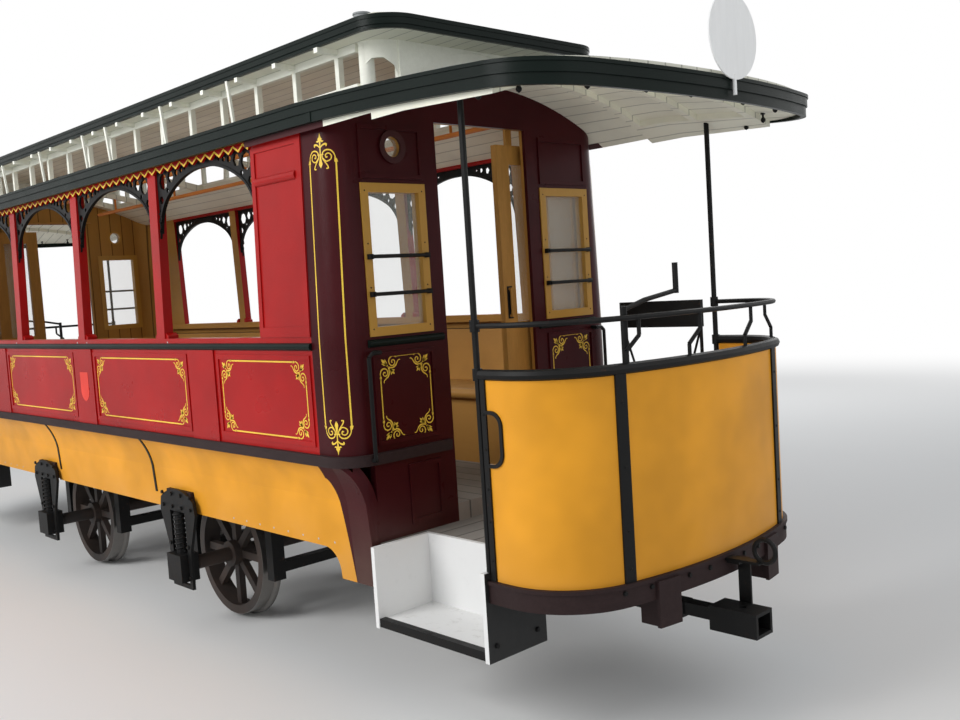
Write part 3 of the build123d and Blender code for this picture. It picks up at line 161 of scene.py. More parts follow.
class Finish:
    """One material, made from nodes."""

    def __init__(self, name):
        self.material = bpy.data.materials.new(name)
        self.material.use_nodes = True
        self.nodes = self.material.node_tree.nodes
        self.links = self.material.node_tree.links
        self.nodes.clear()
        self.place = self.node("ShaderNodeTexCoord", out="Object")
        self.x = self.node("ShaderNodeSeparateXYZ", {}, self.place, out="X")
        self.y = self.node("ShaderNodeSeparateXYZ", {}, self.place, out="Y")
        self.z = self.node("ShaderNodeSeparateXYZ", {}, self.place, out="Z")

    def node(self, kind, settings=None, *values, out=0, **named):
        """Adds a node: its settings first, then its inputs by place or by name."""
        made = self.nodes.new(kind)
        for key, value in (settings or {}).items():
            setattr(made, key, value)
        for key, value in list(enumerate(values)) + list(named.items()):
            socket = made.inputs[key]
            if isinstance(value, Wire):
                self.links.new(value.socket, socket)
            else:
                socket.default_value = value
        return Wire(self, made.outputs[out])

    def blend(self, factor, a, b):
        """Colour a where the factor is 0 and b where it is 1."""
        tones = [(*tone[:3], 1.0) if not isinstance(tone, Wire) else tone for tone in (a, b)]
        made = self.nodes.new("ShaderNodeMix")
        made.data_type = "RGBA"
        for key, value in ((0, factor), (6, tones[0]), (7, tones[1])):
            if isinstance(value, Wire):
                self.links.new(value.socket, made.inputs[key])
            else:
                made.inputs[key].default_value = value
        return Wire(self, made.outputs[2])

    def stretch(self, scale):
        """The place on the piece, scaled along each axis."""
        return self.node("ShaderNodeMapping", {}, self.place, Scale=scale)

    def noise(self, scale, detail=2.0, rough=0.5, at=None):
        return self.node(
            "ShaderNodeTexNoise", {}, Vector=at or self.place, Scale=scale, Detail=detail, Roughness=rough
        )

    def facing_up(self):
        normal = self.node("ShaderNodeNewGeometry", out="Normal")
        return self.node("ShaderNodeSeparateXYZ", {}, normal, out="Z")

    def surface(self, colour, rough, bump=None, depth=0.001, metal=0.0, coat=0.0, **fixed):
        """Ends the material with one shader."""
        shader = self.nodes.new("ShaderNodeBsdfPrincipled")
        for key, value in {"Base Color": colour, "Roughness": rough, "Metallic": metal,
                           "Coat Weight": coat, **fixed}.items():
            if isinstance(value, Wire):
                self.links.new(value.socket, shader.inputs[key])
            elif key == "Base Color":
                shader.inputs[key].default_value = (*value[:3], 1.0)
            else:
                shader.inputs[key].default_value = value
        if bump is not None:
            relief = self.node("ShaderNodeBump", {}, Height=bump, Distance=depth)
            self.links.new(relief.socket, shader.inputs["Normal"])
        end = self.nodes.new("ShaderNodeOutputMaterial")
        self.links.new(shader.outputs[0], end.inputs["Surface"])
        return self.material


def tint(tone, gain):
    return tuple(min(1.0, c * gain) for c in tone)


def weathered(finish, tone, amount=0.16):
    """A paint colour with slow fading, fine dirt and dust low down."""
    fade = finish.noise(1.7, 3.0, 0.6)
    fine = finish.noise(45.0, 4.0, 0.65)
    base = finish.blend(fade.above(0.5, 0.22), tint(tone, 1.0 - amount), tint(tone, 1.0 + amount))
    base = finish.blend((fine.above(0.72, 0.08)) * 0.06, base, tint(tone, 0.6))
    low = 1 - finish.z.above(0.75, 0.30)
    return finish.blend(low * fade.above(0.52, 0.15) * 0.35, base, (0.20, 0.165, 0.13))


def enamel(name, tone, gloss=0.24, inside=None, inside_at=None, shine=0.18, coat=0.06):
    """Brushed coach enamel; where a mask says so it turns to another colour."""
    finish = Finish(name)
    base = weathered(finish, tone)
    brush = finish.noise(9.0, 3.0, 0.55, finish.stretch((3.0, 3.0, 60.0)))
    rough = gloss + 0.16 * finish.noise(6.0, 3.0)
    if inside is not None:
        mask = inside_at(finish)
        base = finish.blend(mask, base, inside(finish))
        rough = rough + mask * 0.2
    return finish.surface(base, rough, brush, 0.0006, coat=coat,
                          **{"Coat Roughness": 0.10, "Specular IOR Level": shine})


def from_middle(finish):
    """Distance from the middle of the car, as if the upper sides stood upright."""
    return finish.y.unsigned() + LEAN * (finish.z - SILL_Z).at_least(0.0)


def behind_skin(finish):
    """1 on the inner faces of the bulkheads and corner posts, 0 outside."""
    paint_depth = 0.020
    along = (finish.x.unsigned() - CORNER_X).at_least(0.0)
    out = (from_middle(finish) - (HALF_WIDTH - CORNER_R)).at_least(0.0)
    outside = ((along * along + out * out) ** 0.5).above(CORNER_R - paint_depth)
    return (1 - outside) * finish.z.above(RAIL_Z + 0.0005)


def corner_foot(finish):
    """1 on the ends of the rockers, where the maroon of the corner post runs down in a curve."""
    top_z, top_x, run, height = 1.070, 2.578, 0.110, 0.5
    drop = ((top_z - finish.z) / height).at_least(0.0)
    return finish.x.unsigned().above(top_x + run * drop ** 0.45)


def inside_frames(finish):
    """1 on the faces of the upper side walls that look into the saloon."""
    post_face, panel_face, panels_from = 0.8965, 0.9485, 2.19
    panel = finish.x.unsigned().above(panels_from)
    return 1 - from_middle(finish).above(post_face + (panel_face - post_face) * panel)


def behind_boards(finish):
    """1 on the faces of the lower sides that look into the saloon."""
    return 1 - finish.y.unsigned().above(0.9355)


def board_lines(finish, across, width):
    """Boards across one axis: a dark joint, its relief and a tone for each board."""
    joint = 1 - across.wrap(width).above(width * 0.035, width * 0.02)
    number = across.whole(width)
    tone = finish.node("ShaderNodeTexWhiteNoise", {"noise_dimensions": "1D"}, W=number)
    return joint, tone


def grain(finish, along, scale=7.0):
    """Wood grain drawn out along one axis."""
    pull = {"X": (0.12, 1.0, 1.0), "Y": (1.0, 0.12, 1.0), "Z": (1.0, 1.0, 0.12)}[along]
    at = finish.stretch(pull)
    bands = finish.noise(scale * 4.5, 6.0, 0.7, at)
    fibre = finish.noise(scale * 24, 3.0, 0.6, at)
    return bands * 0.7 + fibre * 0.3


def boards(name, tone, across, along, width, gloss=0.5, contrast=0.35, depth=0.002):
    """Painted or worn boards with joints."""
    finish = Finish(name)
    line, each = board_lines(finish, getattr(finish, across.lower()), width)
    wood = grain(finish, along)
    base = finish.blend(each * contrast + wood * contrast, tint(tone, 1.12), tint(tone, 0.72))
    dirt = finish.noise(3.0, 4.0, 0.6).above(0.58, 0.12)
    base = finish.blend(dirt * 0.25, base, tint(tone, 0.55))
    base = finish.blend(line * 0.85, base, tint(tone, 0.22))
    relief = 1 - line + 0.12 * wood
    return finish.surface(base, gloss + 0.2 * wood, relief, depth)


def timber(name, tone, along="Z", gloss=0.4, contrast=0.5):
    """One piece of wood with its grain."""
    finish = Finish(name)
    wood = grain(finish, along)
    base = finish.blend(wood.above(0.5, 0.2) * contrast, tint(tone, 1.15), tint(tone, 0.6))
    return finish.surface(base, gloss + 0.25 * wood, wood, 0.0008, **{"Specular IOR Level": 0.18})


def ironwork(name, tone, gloss=0.34, rust=0.25):
    """Black paint on iron, with chips that let rust through."""
    finish = Finish(name)
    chips = finish.noise(38.0, 6.0, 0.75)
    worn = chips.above(0.64, 0.05) * finish.noise(3.0, 2.0).above(0.52, 0.1) * rust
    dust = finish.noise(5.0, 4.0, 0.6)
    base = finish.blend(dust * 0.4, tone, tint(tone, 2.6))
    base = finish.blend(worn, base, (0.17, 0.062, 0.026))
    return finish.surface(base, gloss + 0.25 * dust + worn * 0.3, chips, 0.0008,
                          **{"Specular IOR Level": 0.16})


def wheel_iron(name, centre_x):
    """Iron wheels: rusty web, dark paint and a tread worn bright."""
    finish = Finish(name)
    dx, dz = finish.x - centre_x, finish.z - AXLE_Z
    radius = (dx * dx + dz * dz) ** 0.5
    chips = finish.noise(26.0, 6.0, 0.75)
    rust = finish.blend(chips, (0.018, 0.015, 0.014), (0.060, 0.034, 0.022))
    base = finish.blend(finish.noise(4.0, 3.0).above(0.5, 0.2) * 0.75, rust, (0.012, 0.011, 0.011))
    tread = radius.above(TREAD_R, 0.0015)
    base = finish.blend(tread, base, (0.20, 0.19, 0.18))
    rough = 0.62 - 0.30 * tread + 0.1 * chips
    return finish.surface(base, rough, chips, 0.001, metal=tread * 0.9)


def glass(name):
    finish = Finish(name)
    smear = finish.noise(3.0, 4.0, 0.6)
    return finish.surface((0.80, 0.87, 0.84), 0.03 + 0.05 * smear, smear * 0.2, 0.0002,
                          **{"Alpha": 0.16, "IOR": 1.45})


def varnish(paint, along="Z", across="Y", width=0.11):
    """Varnished matchboard, for the inner side of a painted wall."""

    def inner(finish):
        line, each = board_lines(finish, getattr(finish, across.lower()), width)
        wood = grain(finish, along)
        base = finish.blend(each * 0.3 + wood * 0.5, tint(paint.varnish, 1.2), tint(paint.varnish, 0.62))
        return finish.blend(line * 0.9, base, tint(paint.varnish, 0.18))

    return inner


def roofing(name, paint, width, eaves=None):
    """Cream boards below, grey painted canvas above; beyond the eaves the underside is dark."""
    finish = Finish(name)
    line, each = board_lines(finish, finish.y, width)
    wood = grain(finish, "X")
    below = finish.blend(each * 0.25 + wood * 0.3, tint(paint.cream, 1.08), tint(paint.cream, 0.74))
    stain = finish.noise(2.2, 5.0, 0.62).above(0.56, 0.13)
    below = finish.blend(stain * 0.25, below, tint(paint.cream, 0.6))
    below = finish.blend(line * 0.6, below, tint(paint.cream, 0.30))
    if eaves is not None:
        below = finish.blend(finish.y.unsigned().above(eaves), below, paint.maroon)
    canvas = finish.noise(260.0, 2.0)
    above = finish.blend(finish.noise(1.5, 5.0, 0.6), (0.15, 0.17, 0.155), (0.26, 0.27, 0.25))
    up = finish.facing_up().above(0.05, 0.04)
    base = finish.blend(up, below, above)
    relief = (1 - up) * (1 - line) + up * canvas * 0.3 + wood * 0.08
    return finish.surface(base, 0.55 + 0.2 * wood, relief, 0.002, **{"Specular IOR Level": 0.3})


def window_frame(name, paint):
    """Yellow-brown frames; the rings of the round ports are painted as the wall."""
    finish = Finish(name)
    wood = grain(finish, "Z")
    base = finish.blend(wood.above(0.5, 0.25) * 0.25, tint(paint.frames, 1.08), tint(paint.frames, 0.75))
    ring = finish.z.above(2.5) * finish.x.unsigned().above(2.8495)
    base = finish.blend(ring, base, tint(paint.maroon, 0.9))
    return finish.surface(base, 0.30 + 0.15 * wood, wood, 0.0005, **{"Specular IOR Level": 0.3})


def step_paint(name, paint):
    """White steps whose outer faces are black, scuffed on the tread."""
    finish = Finish(name)
    scuff = finish.noise(18.0, 5.0, 0.7)
    base = finish.blend(scuff.above(0.66, 0.1) * 0.12, paint.white, tint(paint.white, 0.6))
    tread = finish.facing_up().above(0.6, 0.1) * (1 - finish.z.above(0.5, 0.02))
    base = finish.blend(tread * scuff.above(0.62, 0.1) * 0.25, base, (0.40, 0.38, 0.35))
    far = finish.x.unsigned().above(3.6145) + (1 - finish.x.unsigned().above(2.8725))
    base = finish.blend(far, base, paint.iron)
    return finish.surface(base, 0.42 + 0.25 * scuff, scuff, 0.0006)


# Meshes


def empty_mesh(name):
    piece = bpy.data.objects.new(name, bpy.data.meshes.new(name))
    bpy.context.scene.collection.objects.link(piece)
    return piece


def seat(piece, material, body="car", smooth=False):
    """Gives a piece its finish and its body."""
    piece.data.materials.clear()
    piece.data.materials.append(material)
    if smooth:
        for face in piece.data.polygons:
            face.use_smooth = True
    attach(piece, body)
    return piece


def from_bmesh(name, bm):
    bmesh.ops.recalc_face_normals(bm, faces=bm.faces)
    piece = empty_mesh(name)
    bm.to_mesh(piece.data)
    bm.free()
    return piece


FINISHES = {}


class TRAM_OT_finishes(bpy.types.Operator):
    """Mix the finishes and put them on the solids"""

    bl_idname = "tram.finishes"
    bl_label = "Finishes"

    def execute(self, context):
        paint = context.scene.tram_paint
        sizes = context.scene.tram_sizes
        made = {
            "red": enamel("red_enamel", paint.red, 0.22, varnish(paint, "X", "Z"), behind_boards),
            "red_frame": enamel("red_frame", paint.red, 0.24),
            "side_frame": enamel("side_frame", paint.red, 0.24, varnish(paint, "X", "Z", 3.0),
                                 inside_frames),
            "maroon": enamel("maroon_enamel", paint.maroon, 0.22, varnish(paint), behind_skin,
                             shine=0.09, coat=0.03),
            "ochre": enamel("ochre_enamel", paint.ochre, 0.30),
            "rocker": enamel("rocker_enamel", paint.ochre, 0.30, lambda finish: paint.maroon, corner_foot,
                             shine=0.12, coat=0.04),
            "ochre_wood": timber("ochre_timber", paint.varnish, "Z", 0.34),
            "bench_wood": boards("bench_boards", paint.varnish, "Y", "X", 0.068, 0.36),
            "rail_wood": timber("grab_rail_wood", (0.62, 0.20, 0.035), "X", 0.28),
            "cream": timber("cream_paint", paint.cream, "X", 0.5, 0.18),
            "roof": roofing("roof_boards", paint, sizes.board),
            "roof_side": roofing("side_roof_boards", paint, sizes.board, 0.918),
            "window_frame": window_frame("window_frame_paint", paint),
            "fascia": enamel("fascia_paint", paint.fascia, 0.26, shine=0.09, coat=0.01),
            "iron": ironwork("black_iron", paint.iron),
            "oak": timber("dark_oak", paint.oak, "X", 0.45),
            "oak_rim": timber("rim_oak", paint.oak, "Y", 0.5),
            "plank": boards("floor_planks", paint.plank, "X", "Y", 0.118, 0.72, 0.5, 0.004),
            "plank_in": boards("saloon_planks", paint.plank, "Y", "X", 0.118, 0.72, 0.5, 0.004),
            "white": step_paint("step_paint", paint),
            "disc": timber("disc_paint", paint.white, "Z", 0.4, 0.12),
            "glass": glass("window_glass"),
            "gold": enamel("gold_lining", paint.gold, 0.26),
            "shield": enamel("shield_paint", (0.80, 0.05, 0.03), 0.24),
            "bright": ironwork("bright_screws", (0.42, 0.42, 0.44), 0.30, 0.0),
            "lead": ironwork("lead_grey", (0.23, 0.24, 0.24), 0.5, 0.1),
            "wheel_front": wheel_iron("wheel_iron_front", AXLE_X),
            "wheel_rear": wheel_iron("wheel_iron_rear", -AXLE_X),
        }
        FINISHES.update(made)
        worn_by = {
            "side_panels": "red", "rockers": "rocker", "corner_posts": "maroon", "bottom_rails": "oak",
            "belt_rails": "fascia", "side_frames": "side_frame", "bulkheads": "maroon",
            "window_frames": "window_frame", "window_panes": "glass", "window_bars": "iron",
            "door_leaf_front": "ochre_wood", "door_leaf_rear": "ochre_wood",
            "door_glass_front": "glass", "door_glass_rear": "glass", "door_tracks": "ochre_wood",
            "saloon_floor": "plank_in", "benches": "bench_wood", "grab_rails": "rail_wood",
            "roof_sides": "roof_side", "hoods": "roof", "fascia": "fascia", "clerestory": "cream",
            "clerestory_moulding": "fascia", "clerestory_roof": "roof", "platform_floors": "plank",
            "platform_rims": "oak_rim", "dashes": "ochre", "dash_trim": "iron", "handrails": "iron",
            "steps": "white", "step_nosings": "iron", "sills": "oak", "crossbearers": "oak",
            "platform_bearers": "oak", "brackets": "iron", "valances": "red_frame", "axle_guards": "iron",
            "axle_boxes": "iron", "wheelset_front": "wheel_front", "wheelset_rear": "wheel_rear",
            "brake_gear": "iron", "gate_front": "iron", "gate_rear": "iron", "draw_gear": "iron",
            "route_disc": "disc",
        }
        for node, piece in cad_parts.items():
            piece.data.materials.clear()
            piece.data.materials.append(made[worn_by[node]])
        return {"FINISHED"}


# Paint lines, scrolls and leaves, drawn as thin ribbons on a surface


def smooth(p, q, r, o, t):
    """Value between q and r at a share t of the way, with p before them and o after."""
    bend, twist = 2 * p - 5 * q + 4 * r - o, 3 * q - p - 3 * r + o
    return 0.5 * (2 * q + (r - p) * t + bend * t**2 + twist * t**3)


def curve(points, steps=5):
    """Smooth path through points (along, up, width)."""
    ends = [points[0], *points, points[-1]]
    path = []
    for a, b, c, d in zip(ends, ends[1:], ends[2:], ends[3:]):
        for k in range(steps):
            t = k / steps
            path.append(tuple(smooth(*values, t) for values in zip(a, b, c, d)))
    return [*path, tuple(points[-1])]


def skin(bm, rings):
    """Joins closed rings of points one to the next and shuts both ends."""
    for a, b in zip(rings, rings[1:]):
        for i in range(len(a)):
            j = (i + 1) % len(a)
            bm.faces.new((a[i], a[j], b[j], b[i]))
    bm.faces.new(rings[0])
    bm.faces.new(reversed(rings[-1]))


def ribbon(bm, place, path, thick=0.0007):
    """Closed thin strip along a path; place gives a point of the surface and the way out of it."""
    rows = []
    for k, (u, v, wide) in enumerate(path):
        back, ahead = path[max(k - 1, 0)], path[min(k + 1, len(path) - 1)]
        run = Vector((ahead[0] - back[0], ahead[1] - back[1])).normalized()
        side = Vector((-run.y, run.x)) * max(wide, 0.0006) / 2
        row = []
        for s, lift in ((1, -0.0002), (1, thick), (-1, thick), (-1, -0.0002)):
            point, out = place(u + s * side.x, v + s * side.y)
            row.append(bm.verts.new(point + out * lift))
        rows.append(row)
    skin(bm, rows)


MM = 0.001

# Corner ornament of a gold frame: along one line, along the other, width, in millimetres.
# Each stroke is drawn again with its two lines exchanged.
CORNER_STROKES = (
    ((103, -5, 1), (101, 0, 9), (93, 0, 11), (84, 0, 3)),
    ((86, 0, 4), (74, -1, 5), (60, 6, 6), (53, 20, 6), (58, 36, 5), (72, 43, 5), (85, 37, 5), (88, 24, 5),
     (79, 16, 5), (70, 21, 5), (73, 30, 6)),
    ((48, 46, 3), (62, 51, 5), (79, 51, 7), (93, 42, 7), (102, 29, 5), (111, 19, 4), (120, 19, 5)),
    ((40, 39, 4), (34, 24, 10), (30, 11, 2)),
    ((57, 57, 4), (70, 64, 10), (85, 64, 2)),
)
CORNER_LEAVES = (
    ((44, 44, 5), (30, 30, 14), (17, 17, 12), (9, 9, 1)),
    ((52, 52, 5), (64, 64, 11), (74, 74, 12), (83, 83, 1)),
)

# Ornament at the ends of the two lines on a corner post: across from the middle, beyond the line, width.
# The lines stand at one each side of the middle; each stroke is drawn on both sides.
POST_STROKES = (
    ((1.12, 0, 1), (1.0, 3, 15), (0.98, 10, 12), (0.93, 20, 4)),
    ((0.98, 10, 4), (0.90, 34, 5), (0.68, 52, 6), (0.38, 54, 6), (0.18, 44, 5), (0.12, 26, 5), (0.24, 8, 5),
     (0.44, -12, 5), (0.50, -26, 6), (0.36, -27, 5)),
    ((0.16, 20, 4), (0.40, 4, 5), (0.68, 12, 5), (0.72, 28, 5), (0.56, 39, 5), (0.36, 34, 5), (0.38, 22, 5),
     (0.48, 24, 6)),
    ((0.02, 66, 4), (0.20, 78, 7), (0.42, 80, 9), (0.42, 70, 4)),
    ((0.0, 34, 3), (0.22, 36, 5)),
    ((0.02, 102, 4), (0.16, 94, 8), (0.26, 96, 2)),
)
POST_STEM = ((0, -24, 1), (0, -8, 18), (0, 8, 12), (0, 34, 6), (0, 66, 6), (0, 92, 9), (0, 104, 22),
             (0, 114, 9), (0, 131, 1))

# Gold frames of a side and of an end, in metres along and up
SIDE_FRAMES = ((-2.552, -1.778), (-1.366, -0.204), (0.204, 1.366), (1.778, 2.552))
SIDE_FRAME_Z = (1.260, 1.624)
END_FRAMES = ((-0.742, -0.442), (0.442, 0.742))
END_FRAME_Z = (1.236, 1.628)
CORNER_GAP = 0.100      # where a frame's line starts, from the corner
POST_LINE_Z = (1.332, 2.520)
POST_LINE_MIDDLE = 0.0485
POST_LINE_HALF = 0.0735

# Scrollwork that runs on down a side post below the pierced arch: from the post, down, width
LACE_CURLS = (
    ((1, 0, 5), (12, 6, 6), (26, 20, 7), (28, 38, 6), (16, 46, 5), (8, 36, 5), (14, 28, 5)),
    ((1, 44, 5), (10, 56, 7), (17, 74, 6), (14, 90, 5), (6, 94, 4)),
    ((1, 92, 5), (7, 108, 6), (8, 128, 4), (2, 142, 3)),
)


def gold_frame(bm, place, u0, u1, v0, v1, line):
    """Four lines with an ornament at each corner."""
    for v in (v0, v1):
        ribbon(bm, place, [(u0 + CORNER_GAP, v, line), (u1 - CORNER_GAP, v, line)])
    for u in (u0, u1):
        ribbon(bm, place, [(u, v0 + CORNER_GAP, line), (u, v1 - CORNER_GAP, line)])
    for u, s in ((u0, 1), (u1, -1)):
        for v, t in ((v0, 1), (v1, -1)):
            strokes = [*CORNER_STROKES, *CORNER_LEAVES]
            strokes += [[(b, a, w) for a, b, w in stroke] for stroke in CORNER_STROKES]
            for stroke in strokes:
                ribbon(bm, place, [(u + s * a * MM, v + t * b * MM, w * MM) for a, b, w in curve(stroke)])


def lean(z):
    """Outer face of the upper side walls, from the middle of the car."""
    return HALF_WIDTH - LEAN * max(z - SILL_Z, 0.0)


def on_corner(sx, sy):
    """Surface of a corner post: distance round it from the start of its rounding, and height."""

    def place(u, z):
        angle = min(max(u / CORNER_R, 0.0), math.pi / 2)
        flat = min(u, 0.0)
        out = Vector((sx * math.sin(angle), sy * math.cos(angle), 0.0))
        middle = Vector((sx * (CORNER_X + flat), sy * (lean(z) - CORNER_R), z))
        return middle + out * CORNER_R, out

    return place


def on_side(s):
    return lambda u, z: (Vector((-s * u, s * HALF_WIDTH, z)), Vector((0.0, s, 0.0)))


def on_end(s):
    return lambda u, z: (Vector((s * END_X, u, z)), Vector((s, 0.0, 0.0)))


class TRAM_OT_lining(bpy.types.Operator):
    """Draw the gold frames, the lines on the corner posts and the edge of the valance"""

    bl_idname = "tram.lining"
    bl_label = "Gold lining"

    def execute(self, context):
        line = context.scene.tram_sizes.line
        bm = bmesh.new()
        for s in (-1, 1):
            for ends in SIDE_FRAMES:
                gold_frame(bm, on_side(s), *ends, *SIDE_FRAME_Z, line)
            for ends in END_FRAMES:
                gold_frame(bm, on_end(s), *ends, *END_FRAME_Z, line * 0.8)
        seat(from_bmesh("gold_frames", bm), FINISHES["gold"])
        bm = bmesh.new()
        for sx in (-1, 1):
            for sy in (-1, 1):
                self.corner_lines(bm, on_corner(sx, sy), line)
        seat(from_bmesh("corner_lines", bm), FINISHES["gold"])
        bm = bmesh.new()
        for s in (-1, 1):
            self.valance_edge(bm, s)
        seat(from_bmesh("valance_lining", bm), FINISHES["gold"])
        return {"FINISHED"}

    def corner_lines(self, bm, place, line):
        middle, half = POST_LINE_MIDDLE, POST_LINE_HALF
        low, high = POST_LINE_Z
        for s in (-1, 1):
            steps = [low + (high - low) * k / 12 for k in range(13)]
            ribbon(bm, place, [(middle + s * half, z, line) for z in steps])
        for foot, way in ((low, -1), (high, 1)):
            strokes = [[(s * a, b, w) for a, b, w in stroke] for stroke in POST_STROKES for s in (-1, 1)]
            for stroke in [*strokes, POST_STEM]:
                ribbon(bm, place, [
                    (middle + a * half, foot + way * b * MM, w * MM) for a, b, w in curve(stroke)
                ])

    def valance_edge(self, bm, s):
        pitch, count, wide = BAY / 12, 47, 0.011
        tip_z, root_z, face = 2.661, 2.689, 0.0142
        start = -count * pitch / 2

        def place(u, z):
            return Vector((-s * u, s * (lean(z) + face), z)), Vector((0.0, s, 0.0))

        path = []
        for k in range(count):
            path += [(start + k * pitch, tip_z, wide), (start + (k + 0.5) * pitch, root_z, wide)]
        ribbon(bm, place, [*path, (start + count * pitch, tip_z, wide)])


# Screws, rivets and bolts, one head on each point


def head_tree(name, flats):
    """Geometry Nodes that put a fastener's head on every point of a mesh."""
    tree = bpy.data.node_groups.new(name, "GeometryNodeTree")
    face = tree.interface
    face.new_socket("Geometry", in_out="INPUT", socket_type="NodeSocketGeometry")
    sockets = {}
    for label, value in (("Radius", 0.006), ("Height", 0.003)):
        sockets[label] = face.new_socket(label, in_out="INPUT", socket_type="NodeSocketFloat")
        sockets[label].default_value = value
    face.new_socket("Material", in_out="INPUT", socket_type="NodeSocketMaterial")
    face.new_socket("Geometry", in_out="OUTPUT", socket_type="NodeSocketGeometry")

    def node(kind, settings=None, **inputs):
        made = tree.nodes.new(kind)
        for key, value in (settings or {}).items():
            setattr(made, key, value)
        for key, value in inputs.items():
            socket = made.inputs[key.replace("_", " ")]
            if isinstance(value, bpy.types.NodeSocket):
                tree.links.new(value, socket)
            else:
                socket.default_value = value
        return made

    given = node("NodeGroupInput").outputs
    neck = node("ShaderNodeMath", {"operation": "MULTIPLY"})
    tree.links.new(given["Radius"], neck.inputs[0])
    neck.inputs[1].default_value = 0.82 if flats == 6 else 0.5
    cone = node("GeometryNodeMeshCone", Vertices=flats, Radius_Bottom=given["Radius"],
                Radius_Top=neck.outputs[0], Depth=given["Height"])
    away = node("GeometryNodeInputNamedAttribute", {"data_type": "FLOAT_VECTOR"}, Name="away")
    aim = node("FunctionNodeAlignRotationToVector", {"axis": "Z"}, Vector=away.outputs[0])
    roll = node("FunctionNodeRandomValue", {"data_type": "FLOAT"}, Seed=7)
    roll.inputs[3].default_value = 6.2832
    spin = node("FunctionNodeAxisAngleToRotation", Axis=(0.0, 0.0, 1.0), Angle=roll.outputs[1])
    turn = node("FunctionNodeRotateRotation", {"rotation_space": "LOCAL"}, Rotation=aim.outputs[0],
                Rotate_By=spin.outputs[0])
    heads = node("GeometryNodeInstanceOnPoints", Points=given["Geometry"], Instance=cone.outputs[0],
                 Rotation=turn.outputs[0])
    real = node("GeometryNodeRealizeInstances", Geometry=heads.outputs[0])
    worn = node("GeometryNodeSetMaterial", Geometry=real.outputs[0], Material=given["Material"])
    tree.links.new(worn.outputs[0], node("NodeGroupOutput").inputs[0])
    return tree


def fasten(name, spots, radius, height, flats, material):
    """Heads on a list of (point, way out), turned into one plain mesh."""
    holder = empty_mesh(name + "_spots")
    mesh = holder.data
    mesh.from_pydata([tuple(Vector(at) - Vector(out) * 0.0002) for at, out in spots], [], [])
    away = mesh.attributes.new("away", "FLOAT_VECTOR", "POINT")
    for item, (at, out) in zip(away.data, spots):
        item.vector = out
    tree = head_tree(name, flats)
    modifier = holder.modifiers.new("heads", "NODES")
    modifier.node_group = tree
    for item in tree.interface.items_tree:
        if item.in_out == "INPUT" and item.name in ("Radius", "Height", "Material"):
            modifier[item.identifier] = {"Radius": radius, "Height": height, "Material": material}[item.name]
    context = bpy.context
    context.view_layer.update()
    ready = holder.evaluated_get(context.evaluated_depsgraph_get())
    solid = bpy.data.meshes.new_from_object(ready)
    holder.modifiers.clear()
    bpy.data.objects.remove(holder)
    piece = bpy.data.objects.new(name, solid)
    context.scene.collection.objects.link(piece)
    return seat(piece, material)


def four(spots):
    """The same spots at all four corners of the car."""
    return [
        ((sx * x, sy * y, z), (sx * a, sy * b, c))
        for (x, y, z), (a, b, c) in spots for sx in (-1, 1) for sy in (-1, 1)
    ]


def twice(spots):
    """The same spots after half a turn."""
    return [
        ((s * x, s * y, z), (s * a, s * b, c)) for (x, y, z), (a, b, c) in spots for s in (-1, 1)
    ]


def rocker_y(z):
    """Outer face of the rocker at a height."""
    knee_y = 0.868
    if z < KNEE_Z:
        return knee_y - 0.028 * (KNEE_Z - z) / 0.390
    a, b, c = ((KNEE_Z, knee_y), (1.062, 0.898), (RAIL_Z, 0.945))
    return sum(
        p[1] * (z - q[0]) * (z - r[0]) / ((p[0] - q[0]) * (p[0] - r[0]))
        for p, q, r in ((a, b, c), (b, a, c), (c, a, b))
    )


def dash_x(y, out=0.0):
    """Outer face of the dash ahead of the car at a distance from the middle."""
    return DASH_TIP_X - DASH_R + math.sqrt((DASH_R + out) ** 2 - y * y)


def dash_out(y):
    """Way out of the dash there."""
    return tuple(Vector((math.sqrt(DASH_R**2 - y * y), y, 0.0)).normalized())


